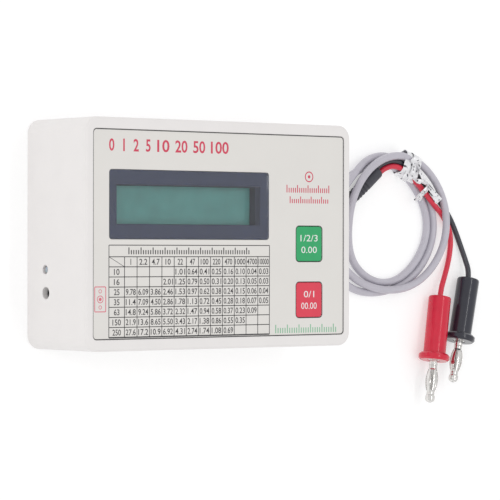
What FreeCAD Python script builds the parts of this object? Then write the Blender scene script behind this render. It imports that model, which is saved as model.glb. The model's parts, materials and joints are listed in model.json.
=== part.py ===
"""Bench component tester: a flat plastic meter case with a display and two keys,
a battery bay behind a sliding door, and a coiled test cord that ends in two
spring plugs. Millimetres. +Z up through the face, +X towards the cord's side,
+Y towards the top of the face. The origin is the centre of the back."""
import FreeCAD, Part
import math
import os

V = FreeCAD.Vector
UP = V(0, 0, 1)

# ---- case ----
case_width = 120.0
case_height = 82.0
case_depth = 37.0
case_corner = 5.0
rim_round = 1.0
wall = 2.2
back_thick = 2.4
face_thick = 2.4
post_top = 20.0
cover_inset = 1.2
cover_round = 0.7
shell_gap = 0.15

# ---- case screws ----
boss_inset = 8.2
boss_radius = 3.4
post_radius = 4.4
screw_radius = 1.3
screw_head_radius = 2.7
screw_head_height = 2.0
screw_sink_depth = 10.0
screw_grip = 8.0
hole_gap = 0.2

# ---- face label ----
label_side_margin = 3.0
label_end_margin = 4.1
label_thick = 0.4
label_sink = 0.3
label_corner = 1.5
label_gap = 0.1

# ---- display window ----
window_width = 71.4
window_height = 24.6
window_left_margin = 7.0
window_top_margin = 14.1
window_corner = 1.2
lens_thick = 1.2
mask_thick = 0.3
mask_side_border = 3.55
mask_end_border = 5.15
view_drop = 0.1
shroud_wall = 1.2
shroud_drop = 3.0

# ---- display module ----
bezel_margin = 0.1
bezel_skin = 0.4
glass_thick = 2.2
glass_gap = 0.15
light_thick = 2.1
display_board_extra_width = 8.6
display_board_extra_height = 11.4
board_thick = 1.6
display_hole_inset = 2.5
board_post_radius = 2.2
small_screw_radius = 0.9
small_head_radius = 1.9
small_head_height = 1.4
small_screw_bite = 5.0

# ---- pin header between the boards ----
header_count = 16
header_pitch = 2.54
header_width = 2.5
header_pin = 0.64
header_edge = 2.6
board_gap = 1.8
pin_end = 0.9

# ---- keys ----
key_width = 12.1
key_height = 12.8
key_corner = 1.3
key_right_margin = 10.6
key_foot_margin = 6.7
key_spacing = 20.65
key_gap = 0.2
key_flange = 1.1
key_flange_thick = 1.2
key_hang_gap = 0.2
key_skin = 1.2
key_boss_radius = 2.2
switch_side = 6.0
switch_height = 3.5
switch_corner = 0.4
plunger_radius = 1.75
plunger_gap = 0.15
plunger_engage = 0.7
bore_depth = 1.5

# ---- main board ----
main_board_wall_gap = 3.8
main_board_boss_gap = 0.6
main_post_radius = 2.6
main_post_side_inset = 3.0
main_post_end_inset = 4.8
main_post_display_gap = 5.3

# ---- battery bay and door ----
battery_width = 26.5
battery_length = 48.5
battery_thick = 17.5
bay_right_room = 22.45
bay_side_gap = 0.5
bay_wall = 1.8
bay_roof = 1.2
bay_start_gap = 0.6
bay_end_room = 8.0
door_recess = 0.3
door_thick = 1.6
door_edge_gap = 0.3
door_tongue = 1.2
door_tongue_thick = 0.8
door_overlap = 0.6
door_end_gap = 0.1
battery_lift = 0.3
grip_count = 5
grip_pitch = 2.0
grip_width = 0.8
grip_depth = 0.35
stud_height = 2.6
stud_spacing = 12.8
stud_gap = 0.2
snap_thick = 2.2
snap_width = 25.0
snap_height = 13.0

# ---- power socket and lamp on the left side ----
socket_offset = -3.8
socket_z = 12.2
socket_hole_radius = 2.15
socket_bore_radius = 1.8
socket_bore_depth = 9.0
socket_width = 7.5
socket_length = 11.0
socket_seat = 4.0
socket_pin_radius = 0.65
socket_pin_recess = 2.2
lamp_offset = 4.5
lamp_z = 11.8
lamp_radius = 1.5
lamp_flange_radius = 1.9
lamp_hole_gap = 0.1
lamp_recess = 0.2
lamp_length = 5.4
lamp_leg = 0.5
lamp_leg_spacing = 2.54
side_board_length = 20.0
side_board_width = 22.0
side_board_post_gap = 0.4
side_board_gap = 1.6
side_post_radius = 2.4
side_post_x_inset = 3.0
side_post_spread = 7.6

# ---- cord entry on the right side ----
gland_y = 12.0
gland_z = 8.0
gland_neck_radius = 3.1
gland_flange_radius = 4.5
gland_flange_thick = 1.3
gland_nose_length = 4.9
gland_nose_radius = 2.5
cord_diameter = 3.0
lead_diameter = 2.2
wire_diameter = 1.3

# ---- coil of the cord, measured from the right wall and from the case's middle ----
coil_x = 48.0
coil_y = 4.75
coil_half_width = 34.0
coil_half_height = 29.2
hole_x = 48.7
hole_y = 3.4
hole_half_width = 19.7
hole_half_height = 21.6
coil_layers = 2

# ---- ribbed boot where the cord divides ----
boot_length = 27.0
boot_radius = 2.7
boot_tail_radius = 2.2
boot_smooth_length = 9.5
boot_end_x = 43.2
boot_end_y = 25.75
boot_heading = 39.4
rib_pitch = 1.5
rib_groove = 0.6
rib_depth = 0.35
lead_pair_gap = 0.1

# ---- spring plugs ----
plug_length = 26.0
plug_radius = 4.5
plug_flange_step = 1.7
plug_flange_length = 2.8
plug_round = 0.7
plug_lift = 0.02
pin_bore_radius = 2.5
pin_bore_length = 14.0
pin_fit_gap = 0.05
neck_radius = 1.7
neck_length = 2.0
core_radius = 1.0
cage_length = 12.0
cage_bulge = 2.55
cage_end_radius = 1.6
cage_skin = 0.28
cage_run_gap = 0.1
cage_slots = 6
cage_slot_width = 0.75
tip_radius = 1.95
tip_length = 2.9
tip_hole_radius = 0.55
lead_bite = 3.0

# ---- tie round the coil ----
tie_clock = 25.0
tie_width = 6.0
tie_skin = 0.4
tie_reach_in = 20.6
tie_reach_out = 31.6
tie_rise = 0.9

# ---- face layout that follows from the sizes above ----
label_width = case_width - 2 * label_side_margin
label_height = case_height - 2 * label_end_margin
window_centre_x = -label_width / 2 + window_left_margin + window_width / 2
window_centre_y = label_height / 2 - window_top_margin - window_height / 2
view_width = window_width - 2 * mask_side_border
view_height = window_height - 2 * mask_end_border
view_centre_y = window_centre_y - view_drop
display_board_width = window_width + display_board_extra_width
display_board_height = window_height + display_board_extra_height
display_hole_x = display_board_width / 2 - display_hole_inset
display_hole_y = display_board_height / 2 - display_hole_inset
key_centre_x = label_width / 2 - key_right_margin - key_width / 2
red_key_y = -label_height / 2 + key_foot_margin + key_height / 2
green_key_y = red_key_y + key_spacing

# ---- heights and places that follow from the sizes above ----
label_top = case_depth - label_sink
label_floor = label_top - label_thick
face_inside = case_depth - face_thick
lens_floor = label_top - lens_thick
mask_floor = lens_floor - mask_thick
shroud_foot = mask_floor - shroud_drop
glass_top = shroud_foot - bezel_skin
display_board_top = glass_top - glass_thick - light_thick
display_board_foot = display_board_top - board_thick
main_board_top = display_board_foot - board_gap
main_board_foot = main_board_top - board_thick
door_top = door_recess + door_thick
battery_foot = door_top + battery_lift
bay_ceiling = battery_foot + battery_thick + battery_lift
bay_width = battery_width + 2 * bay_side_gap
inner_half_x = case_width / 2 - wall
inner_half_y = case_height / 2 - wall
bay_start = -inner_half_y + bay_start_gap
battery_end = bay_start + battery_length
bay_end = battery_end + bay_end_room
boss_x = case_width / 2 - boss_inset
boss_y = case_height / 2 - boss_inset
right_wall = case_width / 2
main_board_width = 2 * (inner_half_x - main_board_wall_gap)
main_board_height = 2 * (boss_y - boss_radius - main_board_boss_gap)
main_post_y = main_board_height / 2 - main_post_end_inset
main_post_low_x = main_board_width / 2 - main_post_side_inset
main_post_mid_x = window_centre_x + display_board_width / 2 + main_post_display_gap
bay_centre_x = right_wall - bay_right_room - bay_wall - bay_width / 2
side_board_centre_y = -(boss_y - post_radius - side_board_post_gap) + side_board_width / 2
socket_y = side_board_centre_y + socket_offset
lamp_y = side_board_centre_y + lamp_offset
coil_thick = coil_layers * cord_diameter
tie_height = coil_thick + tie_rise
plug_flange_radius = plug_radius + plug_flange_step
side_board_top = socket_z - socket_seat
side_board_foot = side_board_top - board_thick
key_foot = face_inside - key_hang_gap - key_flange_thick
door_narrow = bay_width + 2 * door_overlap
door_wide = door_narrow + 2 * door_tongue
door_length = bay_end + door_overlap + case_height / 2 - door_end_gap
lead_radius = lead_diameter / 2
cord_radius = cord_diameter / 2


# ---- shape helpers ----
def slab(cx, cy, width, height, z0, z1, corner=0.0):
    """A flat block with rounded upright corners, centred on cx, cy."""
    block = Part.makeBox(width, height, z1 - z0, V(cx - width / 2, cy - height / 2, z0))
    if corner <= 0:
        return block
    upright = [e for e in block.Edges if abs(e.tangentAt(e.FirstParameter).z) > 0.99]
    return block.makeFillet(corner, upright)


def rod(x, y, z0, z1, radius):
    """An upright cylinder."""
    return Part.makeCylinder(radius, z1 - z0, V(x, y, z0))


def rod_x(x0, x1, y, z, radius):
    """A cylinder that lies along X."""
    return Part.makeCylinder(radius, x1 - x0, V(x0, y, z), V(1, 0, 0))


def round_level_edges(solid, z, radius):
    """Round every edge that lies flat at height z."""
    flat = [e for e in solid.Edges if all(abs(v.Z - z) < 1e-6 for v in e.Vertexes)]
    return solid.makeFillet(radius, flat)


def fuse(shapes):
    """One solid from touching or overlapping shapes."""
    whole = shapes[0]
    for extra in shapes[1:]:
        whole = whole.fuse(extra)
    return whole.removeSplitter()


def spin(profile):
    """A solid of revolution about Z from (radius, height) points."""
    points = [V(r, 0, z) for r, z in profile]
    outline = Part.makePolygon(points + [points[0]])
    return Part.Face(outline).revolve(V(0, 0, 0), UP, 360)


def aim(shape, point, direction):
    """Move a shape built along +Z so that it starts at point along direction."""
    moved = shape.copy()
    moved.Placement = FreeCAD.Placement(point, FreeCAD.Rotation(UP, direction))
    return moved


def strip(p, q, width, thick):
    """A thin flat bar from p to q, with its width level."""
    along = q.sub(p)
    bar = Part.makeBox(along.Length, width, thick, V(0, -width / 2, -thick / 2))
    side = UP.cross(along).normalize()
    up = along.cross(side).normalize()
    turn = FreeCAD.Rotation(along, side, up, "XYZ")
    bar.Placement = FreeCAD.Placement(p, turn)
    return bar


# ---- bent tubes: straight runs joined by tangent arcs ----
def bend_at(before, corner, after):
    """Start, middle and end of the arc that rounds one corner, and its radius."""
    back = before.sub(corner)
    ahead = after.sub(corner)
    reach = 0.45 * min(back.Length, ahead.Length)
    back.normalize()
    ahead.normalize()
    half_turn = (math.pi - back.getAngle(ahead)) / 2
    radius = reach / math.tan(half_turn)
    inward = back.add(ahead).normalize()
    centre = corner.add(inward * (radius / math.cos(half_turn)))
    middle = centre.sub(inward * radius)
    return corner.add(back * reach), middle, corner.add(ahead * reach), radius


def tube(name, points, diameter):
    """A round tube along a route; prints its radii and checks its volume."""
    edges = []
    radii = []
    here = points[0]
    for before, corner, after in zip(points, points[1:], points[2:]):
        start, middle, end, radius = bend_at(before, corner, after)
        edges.append(Part.LineSegment(here, start).toShape())
        edges.append(Part.Arc(start, middle, end).toShape())
        radii.append(radius)
        here = end
    edges.append(Part.LineSegment(here, points[-1]).toShape())
    path = Part.Wire(edges)
    first = points[1].sub(points[0])
    circle = Part.Wire([Part.makeCircle(diameter / 2, points[0], first)])
    solid = path.makePipeShell([circle], True, False)
    wanted = math.pi * diameter ** 2 / 4 * path.Length
    tightest = min(radii) / diameter if radii else 0.0
    print(f"{name}: length {path.Length:.1f}, volume {solid.Volume / wanted:.4f} of section x length,"
          f" radii {[round(r, 1) for r in radii]}, tightest {tightest:.1f} diameters")
    return solid


# ---- repeated positions ----
boss_places = [(sx * boss_x, sy * boss_y) for sx in (-1, 1) for sy in (-1, 1)]
display_places = [(window_centre_x + sx * display_hole_x, window_centre_y + sy * display_hole_y)
                  for sx in (-1, 1) for sy in (-1, 1)]
main_places = [(-main_post_low_x, -main_post_y), (main_post_low_x, -main_post_y),
               (main_post_low_x, main_post_y), (main_post_mid_x, main_post_y)]
key_places = {"green": green_key_y, "red": red_key_y}
header_y = window_centre_y + display_board_height / 2 - header_edge
header_xs = [window_centre_x + (i - (header_count - 1) / 2) * header_pitch for i in range(header_count)]
side_board_x = -inner_half_x + side_board_gap + side_board_length / 2
side_post_x = side_board_x + side_board_length / 2 - side_post_x_inset
side_places = [(side_post_x, side_board_centre_y + s * side_post_spread) for s in (-1, 1)]


# ---- case ----
def back_cover():
    """The inset back plate, with its screw posts, the battery bay and the side board's posts."""
    shell = slab(0, 0, case_width - 2 * cover_inset, case_height - 2 * cover_inset, 0, back_thick,
                 case_corner - cover_inset)
    posts = [rod(x, y, back_thick - 1, post_top, post_radius) for x, y in boss_places]
    posts += [rod(x, y, back_thick - 1, side_board_foot, side_post_radius) for x, y in side_places]
    shell = add_battery_bay(fuse([shell] + posts))
    for x, y in boss_places:
        shell = shell.cut(rod(x, y, -1, post_top + 1, screw_radius + hole_gap))
        shell = shell.cut(rod(x, y, -1, screw_sink_depth, screw_head_radius + hole_gap))
    for x, y in side_places:
        shell = shell.cut(rod(x, y, side_board_foot - small_screw_bite + 1, side_board_foot + 1, small_screw_radius))
    return shell


def door_way(shape):
    """Cut the way the door slides in: a wide slot above a narrower opening."""
    low = -case_height / 2 - 1
    high = bay_end + door_overlap + door_edge_gap
    middle = (low + high) / 2
    groove_foot = door_top - door_tongue_thick - door_edge_gap
    top = door_top + door_edge_gap
    shape = shape.cut(slab(bay_centre_x, middle, door_narrow + 2 * door_edge_gap, high - low, -1, top))
    return shape.cut(slab(bay_centre_x, middle, door_wide + 2 * door_edge_gap, high - low, groove_foot, top))


def add_battery_bay(shell):
    """Walls and roof of the bay, the door's opening and the grooves beside it."""
    low = -inner_half_y + shell_gap
    high = bay_end + bay_wall
    middle = (low + high) / 2
    body = slab(bay_centre_x, middle, bay_width + 2 * bay_wall, high - low, back_thick - 1, bay_ceiling + bay_roof)
    rails = slab(bay_centre_x, middle, door_wide + 2 * door_edge_gap + 2 * bay_wall, high - low,
                 back_thick - 1, door_top + door_edge_gap + bay_wall)
    shell = fuse([shell, body, rails])
    inside_low = low - 1
    shell = shell.cut(slab(bay_centre_x, (inside_low + bay_end) / 2, bay_width, bay_end - inside_low,
                           door_top, bay_ceiling))
    slot = slab(bay_centre_x, bay_end + bay_wall / 2, battery_width / 2, bay_wall + 2,
                battery_foot + battery_thick / 2, bay_ceiling - bay_roof)
    return door_way(shell.cut(slot))


def case_body():
    """The deep tub: face, four walls, posts, and the openings in the face and the sides."""
    tub = slab(0, 0, case_width, case_height, 0, case_depth, case_corner)
    tub = round_level_edges(tub, case_depth, rim_round)
    tub = round_level_edges(tub, 0, cover_round)
    inside = slab(0, 0, 2 * inner_half_x, 2 * inner_half_y, -1, face_inside, case_corner - wall)
    seat_inset = cover_inset - shell_gap
    seat = slab(0, 0, case_width - 2 * seat_inset, case_height - 2 * seat_inset, -1, back_thick,
                case_corner - seat_inset)
    tub = tub.cut([inside, seat])
    posts = [rod(x, y, post_top, face_inside + 1, boss_radius) for x, y in boss_places]
    posts += [rod(x, y, display_board_top, face_inside + 1, board_post_radius) for x, y in display_places]
    posts += [rod(x, y, main_board_top, face_inside + 1, main_post_radius) for x, y in main_places]
    shroud = slab(window_centre_x, view_centre_y, view_width + 2 * shroud_wall, view_height + 2 * shroud_wall,
                  shroud_foot, face_inside + 1)
    return cut_sides(cut_screw_holes(cut_face(fuse([tub, shroud] + posts))))


def cut_face(tub):
    """The label's seat, the window with its ledge, and the key holes."""
    tub = tub.cut(slab(0, 0, label_width, label_height, label_floor, case_depth + 1, label_corner))
    tub = tub.cut(slab(window_centre_x, window_centre_y, window_width, window_height,
                       mask_floor, case_depth + 1, window_corner))
    tub = tub.cut(slab(window_centre_x, view_centre_y, view_width, view_height, shroud_foot - 1, case_depth))
    for y in key_places.values():
        tub = tub.cut(slab(key_centre_x, y, key_width + 2 * key_gap, key_height + 2 * key_gap,
                           face_inside - 1, case_depth, key_corner + key_gap))
    return tub


def cut_screw_holes(tub):
    """Blind pilot holes in every post."""
    for x, y in boss_places:
        tub = tub.cut(rod(x, y, post_top - 1, post_top + screw_grip + 1, screw_radius))
    for x, y in display_places:
        tub = tub.cut(rod(x, y, display_board_top - 1, display_board_top + small_screw_bite, small_screw_radius))
    for x, y in main_places:
        tub = tub.cut(rod(x, y, main_board_top - 1, main_board_top + small_screw_bite, small_screw_radius))
    return tub


def cut_sides(tub):
    """The socket's and the lamp's holes on the left, the cord's on the right, and the door's notch."""
    tub = tub.cut(rod_x(-case_width, -inner_half_x + 1, socket_y, socket_z, socket_hole_radius))
    tub = tub.cut(rod_x(-case_width, -inner_half_x + 1, lamp_y, lamp_z, lamp_radius + lamp_hole_gap))
    tub = tub.cut(rod_x(inner_half_x - 1, case_width, gland_y, gland_z, gland_neck_radius))
    return door_way(tub)


def battery_door():
    """The sliding cover: a plate with a thin tongue down each long side."""
    low = -case_height / 2 + door_end_gap
    middle = low + door_length / 2
    plate = slab(bay_centre_x, middle, door_narrow, door_length, door_recess, door_top)
    tongues = slab(bay_centre_x, middle, door_wide, door_length, door_top - door_tongue_thick, door_top)
    door = fuse([plate, tongues])
    for i in range(grip_count):
        y = low + door_length - 6.0 - i * grip_pitch
        door = door.cut(slab(bay_centre_x, y, door_narrow / 2, grip_width, 0, door_recess + grip_depth))
    return door


# ---- face ----
def face_label():
    """The printed overlay, cut out for the window and the keys."""
    sheet = slab(0, 0, label_width - 2 * label_gap, label_height - 2 * label_gap,
                 label_floor, label_top, label_corner - label_gap)
    sheet = sheet.cut(slab(window_centre_x, window_centre_y, window_width, window_height,
                           label_floor - 1, label_top + 1, window_corner))
    for y in key_places.values():
        sheet = sheet.cut(slab(key_centre_x, y, key_width + 2 * key_gap, key_height + 2 * key_gap,
                               label_floor - 1, label_top + 1, key_corner + key_gap))
    return sheet


def window_lens():
    """The clear window plate, level with the label."""
    return slab(window_centre_x, window_centre_y, window_width - 2 * label_gap, window_height - 2 * label_gap,
                lens_floor, label_top, window_corner - label_gap)


def window_mask():
    """The dark border sheet under the window."""
    sheet = slab(window_centre_x, window_centre_y, window_width - 2 * label_gap, window_height - 2 * label_gap,
                 mask_floor, lens_floor, window_corner - label_gap)
    return sheet.cut(slab(window_centre_x, view_centre_y, view_width, view_height, mask_floor - 1, lens_floor + 1))


def key_cap(y):
    """A hollow key with a retaining flange and a pressing boss."""
    cap = slab(key_centre_x, y, key_width, key_height, key_foot, label_top, key_corner)
    cap = round_level_edges(cap, label_top, key_gap)
    flange = slab(key_centre_x, y, key_width + 2 * key_flange, key_height + 2 * key_flange,
                  key_foot, key_foot + key_flange_thick, key_corner)
    hollow = slab(key_centre_x, y, key_width - 2 * key_skin, key_height - 2 * key_skin,
                  key_foot - 1, label_top - key_skin)
    boss = rod(key_centre_x, y, key_foot, label_top - key_skin, key_boss_radius)
    return fuse([fuse([cap, flange]).cut(hollow), boss])


def key_plunger(y):
    """The switch's stem, which the key rests on."""
    low = main_board_top + switch_height - plunger_engage
    return rod(key_centre_x, y, low, key_foot, plunger_radius)


def key_switch(y):
    """The push switch's fixed body, with the stem's bore."""
    body = slab(key_centre_x, y, switch_side, switch_side, main_board_top,
                main_board_top + switch_height, switch_corner)
    top = main_board_top + switch_height
    return body.cut(rod(key_centre_x, y, top - bore_depth, top + 1, plunger_radius + plunger_gap))


# ---- display module and boards ----
def lcd_bezel():
    """The metal frame over the display glass."""
    width = window_width - 2 * bezel_margin
    height = window_height - 2 * bezel_margin
    frame = slab(window_centre_x, view_centre_y, width, height, display_board_top, shroud_foot)
    frame = frame.cut(slab(window_centre_x, view_centre_y, width - 2 * bezel_skin, height - 2 * bezel_skin,
                           display_board_top - 1, glass_top))
    return frame.cut(slab(window_centre_x, view_centre_y, view_width + bezel_skin, view_height + bezel_skin,
                          glass_top - 1, shroud_foot + 1))


def display_layer(z0, z1):
    """A plate that fits inside the metal frame."""
    inset = bezel_margin + bezel_skin + glass_gap
    return slab(window_centre_x, view_centre_y, window_width - 2 * inset, window_height - 2 * inset, z0, z1)


def lcd_board():
    """The display's own circuit board."""
    board = slab(window_centre_x, window_centre_y, display_board_width, display_board_height,
                 display_board_foot, display_board_top)
    for x, y in display_places:
        board = board.cut(rod(x, y, display_board_foot - 1, display_board_top + 1, small_screw_radius + hole_gap))
    return cut_header_holes(board, display_board_foot, display_board_top)


def cut_header_holes(board, z0, z1):
    """One square hole for each header pin."""
    side = header_pin + hole_gap
    holes = [slab(x, header_y, side, side, z0 - 1, z1 + 1) for x in header_xs]
    return board.cut(holes)


def header_strip():
    """The plastic bar that holds the pins between the boards."""
    bar = slab(window_centre_x, header_y, header_count * header_pitch, header_width,
               main_board_top, display_board_foot)
    pins = [slab(x, header_y, header_pin, header_pin, main_board_top - 1, display_board_foot + 1) for x in header_xs]
    return bar.cut(pins)


def header_pins():
    """The row of square pins."""
    return Part.makeCompound([slab(x, header_y, header_pin, header_pin, main_board_foot - pin_end,
                                   display_board_top + pin_end) for x in header_xs])


def main_board():
    """The circuit board that carries the key switches."""
    board = slab(0, 0, main_board_width, main_board_height, main_board_foot, main_board_top)
    for x, y in main_places:
        board = board.cut(rod(x, y, main_board_foot - 1, main_board_top + 1, small_screw_radius + hole_gap))
    return cut_header_holes(board, main_board_foot, main_board_top)


def screw(x, y, seat, radius, length, head_radius, head_height):
    """A pan-head screw pointing up, with a cross slot in its head."""
    shank = rod(x, y, seat, seat + length, radius)
    head = rod(x, y, seat - head_height, seat, head_radius)
    head = round_level_edges(head, seat - head_height, head_height / 3)
    body = fuse([shank, head])
    slot_width = head_radius / 4
    slot_length = head_radius * 1.2
    for width, height in ((slot_length, slot_width), (slot_width, slot_length)):
        body = body.cut(slab(x, y, width, height, seat - head_height - 1, seat - head_height * 0.45))
    return body


def case_screws():
    """Four long screws from the back."""
    length = post_top + screw_grip - screw_sink_depth
    return Part.makeCompound([screw(x, y, screw_sink_depth, screw_radius, length,
                                    screw_head_radius, screw_head_height) for x, y in boss_places])


def board_screws(places, seat):
    """Small screws that hold a board up against its posts."""
    length = board_thick + small_screw_bite - 0.5
    return Part.makeCompound([screw(x, y, seat, small_screw_radius, length,
                                    small_head_radius, small_head_height) for x, y in places])


def side_board_screws():
    """Two small screws that hold the side board down."""
    placed = []
    for x, y in side_places:
        length = board_thick + small_screw_bite - 1.5
        one = screw(0, 0, 0, small_screw_radius, length, small_head_radius, small_head_height)
        placed.append(aim(one, V(x, y, side_board_top), V(0, 0, -1)))
    return Part.makeCompound(placed)


# ---- parts on the boards ----
chip_x = -24.0
chip_y = 2.0
chip_length = 35.0
chip_width = 7.4
chip_thick = 3.4
chip_socket_thick = 4.2
can_places = [(-34.0, 20.0, 4.0, 9.0), (-23.0, 20.0, 3.1, 7.5), (-14.0, 20.0, 3.1, 7.5)]
crystal_bay_gap = 4.35
crystal_y = -12.0
crystal_length = 10.2
crystal_width = 4.0
crystal_height = 3.6
crystal_x = bay_centre_x - bay_width / 2 - bay_wall - crystal_bay_gap - crystal_length / 2
resistor_count = 7
resistor_first_x = -46.0
resistor_pitch = 4.5
resistor_y = -8.0
resistor_radius = 1.15
resistor_length = 6.3


def chip_socket():
    """The chip's socket under the main board."""
    return slab(chip_x, chip_y, chip_length + 1, chip_width + 1, main_board_foot - chip_socket_thick, main_board_foot)


def controller_chip():
    """The controller in its socket, with the end notch."""
    top = main_board_foot - chip_socket_thick
    chip = slab(chip_x, chip_y, chip_length, chip_width, top - chip_thick, top, 0.3)
    return chip.cut(rod(chip_x - chip_length / 2, chip_y, top - chip_thick - 1, top - chip_thick + 1, 1.2))


def capacitors():
    """Upright cans under the main board."""
    cans = []
    for x, y, radius, height in can_places:
        can = rod(x, y, main_board_foot - height, main_board_foot, radius)
        cans.append(round_level_edges(can, main_board_foot - height, radius / 6))
    return Part.makeCompound(cans)


def crystal_can():
    """The clock crystal's metal can."""
    can = slab(crystal_x, crystal_y, crystal_length, crystal_width,
               main_board_foot - crystal_height, main_board_foot, crystal_width / 2 - 0.1)
    return round_level_edges(can, main_board_foot - crystal_height, 0.5)


def resistors():
    """A row of small resistor bodies."""
    bodies = []
    for i in range(resistor_count):
        x = resistor_first_x + i * resistor_pitch
        z = main_board_foot - resistor_radius
        start = V(x, resistor_y - resistor_length / 2, z)
        bodies.append(Part.makeCylinder(resistor_radius, resistor_length, start, V(0, 1, 0)))
    return Part.makeCompound(bodies)


# ---- left side: socket, lamp and their board ----
def side_board():
    """The little board that carries the power socket and the lamp."""
    board = slab(side_board_x, side_board_centre_y, side_board_length, side_board_width,
                 side_board_foot, side_board_top)
    for x, y in side_places:
        board = board.cut(rod(x, y, side_board_foot - 1, side_board_top + 1, small_screw_radius + hole_gap))
    return board


def power_socket():
    """The socket's block, with a bore for the supply's plug."""
    mouth = -inner_half_x + label_gap
    top = socket_z + socket_seat
    block = slab(mouth + socket_length / 2, socket_y, socket_length, socket_width, side_board_top, top, 0)
    block = block.cut(rod_x(mouth - 1, mouth + socket_bore_depth, socket_y, socket_z, socket_bore_radius))
    return block.cut(rod_x(mouth, mouth + socket_length - 1, socket_y, socket_z, socket_pin_radius))


def socket_pin():
    """The contact pin in the middle of the socket."""
    mouth = -inner_half_x + label_gap
    start = mouth + socket_pin_recess
    pin = rod_x(start, mouth + socket_length - 1, socket_y, socket_z, socket_pin_radius)
    tip = [e for e in pin.Edges if e.Closed and abs(e.CenterOfMass.x - start) < 1e-6]
    return pin.makeFillet(socket_pin_radius / 2, tip)


def power_lamp():
    """A round-nosed lamp that looks out of the left side."""
    tip = -case_width / 2 + lamp_recess
    dome = Part.makeSphere(lamp_radius, V(tip + lamp_radius, lamp_y, lamp_z))
    barrel = rod_x(tip + lamp_radius, tip + lamp_length, lamp_y, lamp_z, lamp_radius)
    seat = -inner_half_x + label_gap
    flange = rod_x(seat, tip + lamp_length, lamp_y, lamp_z, lamp_flange_radius)
    return fuse([barrel, dome, flange])


def lamp_legs():
    """Two bent wire legs from the lamp down to its board."""
    back = -case_width / 2 + lamp_recess + lamp_length
    legs = []
    for side in (-1, 1):
        y = lamp_y + side * lamp_leg_spacing / 2
        flat = Part.makeBox(3.0, lamp_leg, lamp_leg, V(back, y - lamp_leg / 2, lamp_z - lamp_leg / 2))
        down = Part.makeBox(lamp_leg, lamp_leg, lamp_z + lamp_leg / 2 - side_board_top,
                            V(back + 3.0 - lamp_leg, y - lamp_leg / 2, side_board_top))
        legs.append(fuse([flat, down]))
    return Part.makeCompound(legs)


# ---- battery and its leads ----
def battery():
    """The block battery with its two terminals."""
    middle = bay_start + battery_length / 2
    block = slab(bay_centre_x, middle, battery_width, battery_length, battery_foot, battery_foot + battery_thick)
    long_edges = [e for e in block.Edges if abs(e.tangentAt(e.FirstParameter).y) > 0.99]
    return block.makeFillet(1.5, long_edges)


def battery_terminals():
    """The snap studs on the battery's end."""
    z = battery_foot + battery_thick / 2
    studs = []
    for side, radius in ((-1, 2.9), (1, 3.6)):
        start = V(bay_centre_x + side * stud_spacing / 2, battery_end, z)
        studs.append(Part.makeCylinder(radius, stud_height, start, V(0, 1, 0)))
    return Part.makeCompound(studs)


def battery_snap():
    """The clip-on connector, held just clear of the studs."""
    z = battery_foot + battery_thick / 2
    start = battery_end + stud_height + stud_gap
    return slab(bay_centre_x, start + snap_thick / 2, snap_width, snap_thick,
                z - snap_height / 2, z + snap_height / 2)


def battery_wire(name, side):
    """A wire from the connector, through the bay's slot, to the main board."""
    z = battery_foot + battery_thick / 2 + 3.2
    start = battery_end + stud_height + stud_gap + snap_thick
    x = bay_centre_x + side * 2.2
    route = [V(x, start, z), V(x, start + 3.0, z), V(x + side * 0.4, bay_end + bay_wall + 1.8, z + 0.3),
             V(x + side * 1.4, bay_end + bay_wall + 6.5, z + 3.4),
             V(x + side * 1.4, bay_end + bay_wall + 6.5, main_board_foot)]
    return tube(name, route, wire_diameter)


def supply_wire(name, offset):
    """A wire from the side board up to the main board."""
    x = side_board_x + side_board_length / 2 - 1.2
    y = side_board_centre_y + offset
    rise = main_board_foot - side_board_top
    route = [V(x, y, side_board_top), V(x, y, side_board_top + 0.25 * rise),
             V(x + 1.6, y, side_board_top + 0.5 * rise), V(x + 4.2, y, side_board_top + 0.76 * rise),
             V(x + 4.2, y, main_board_foot)]
    return tube(name, route, wire_diameter)


# ---- cord entry ----
gland_face = right_wall + gland_flange_thick + gland_nose_length


def cord_gland():
    """The moulded strain relief through the right wall."""
    inner = -wall - gland_flange_thick
    outer = gland_flange_thick
    nose = outer + gland_nose_length
    bore = cord_radius
    profile = [(bore, inner), (gland_flange_radius, inner), (gland_flange_radius, -wall),
               (gland_neck_radius, -wall), (gland_neck_radius, 0), (gland_flange_radius, 0),
               (gland_flange_radius, outer - 0.4), (gland_flange_radius - 0.4, outer),
               (gland_neck_radius, outer), (gland_nose_radius, nose), (bore, nose)]
    return aim(spin(profile), V(right_wall, gland_y, gland_z), V(1, 0, 0))


def cord_tail():
    """The jacket's end: through the gland and a little way inside."""
    return rod_x(right_wall - 12.0, gland_face, gland_y, gland_z, cord_radius)


def tail_wire(name, offset):
    """A core of the cord, from the jacket's end up to the main board."""
    x = right_wall - 12.0
    y = gland_y + offset
    rise = main_board_foot - gland_z
    route = [V(x, y, gland_z), V(x - 3.4, y, gland_z), V(x - 6.8, y, gland_z + 0.16 * rise),
             V(x - 8.4, y, gland_z + 0.46 * rise), V(x - 7.6, y, gland_z + 0.76 * rise),
             V(x - 7.6, y, main_board_foot)]
    return tube(name, route, wire_diameter)


# ---- coil, boot and leads outside the case ----
def beyond(x, y, z):
    """A point measured outward from the right wall."""
    return V(right_wall + x, y, z)


def oval(cx, cy, half_width, half_height, z0, z1):
    """An upright oval cylinder."""
    curve = Part.Ellipse(V(cx, cy, z0), max(half_width, half_height), min(half_width, half_height))
    edge = curve.toShape()
    if half_height > half_width:
        edge.rotate(V(cx, cy, z0), UP, 90)
    return Part.Face(Part.Wire([edge])).extrude(V(0, 0, z1 - z0))


def cord_coil():
    """The outer shape of the three turns of cord on the table."""
    outer = oval(right_wall + coil_x, coil_y, coil_half_width, coil_half_height, 0, coil_thick)
    inner = oval(right_wall + hole_x, hole_y, hole_half_width, hole_half_height, -1, coil_thick + 1)
    return outer.cut(inner)


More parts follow.
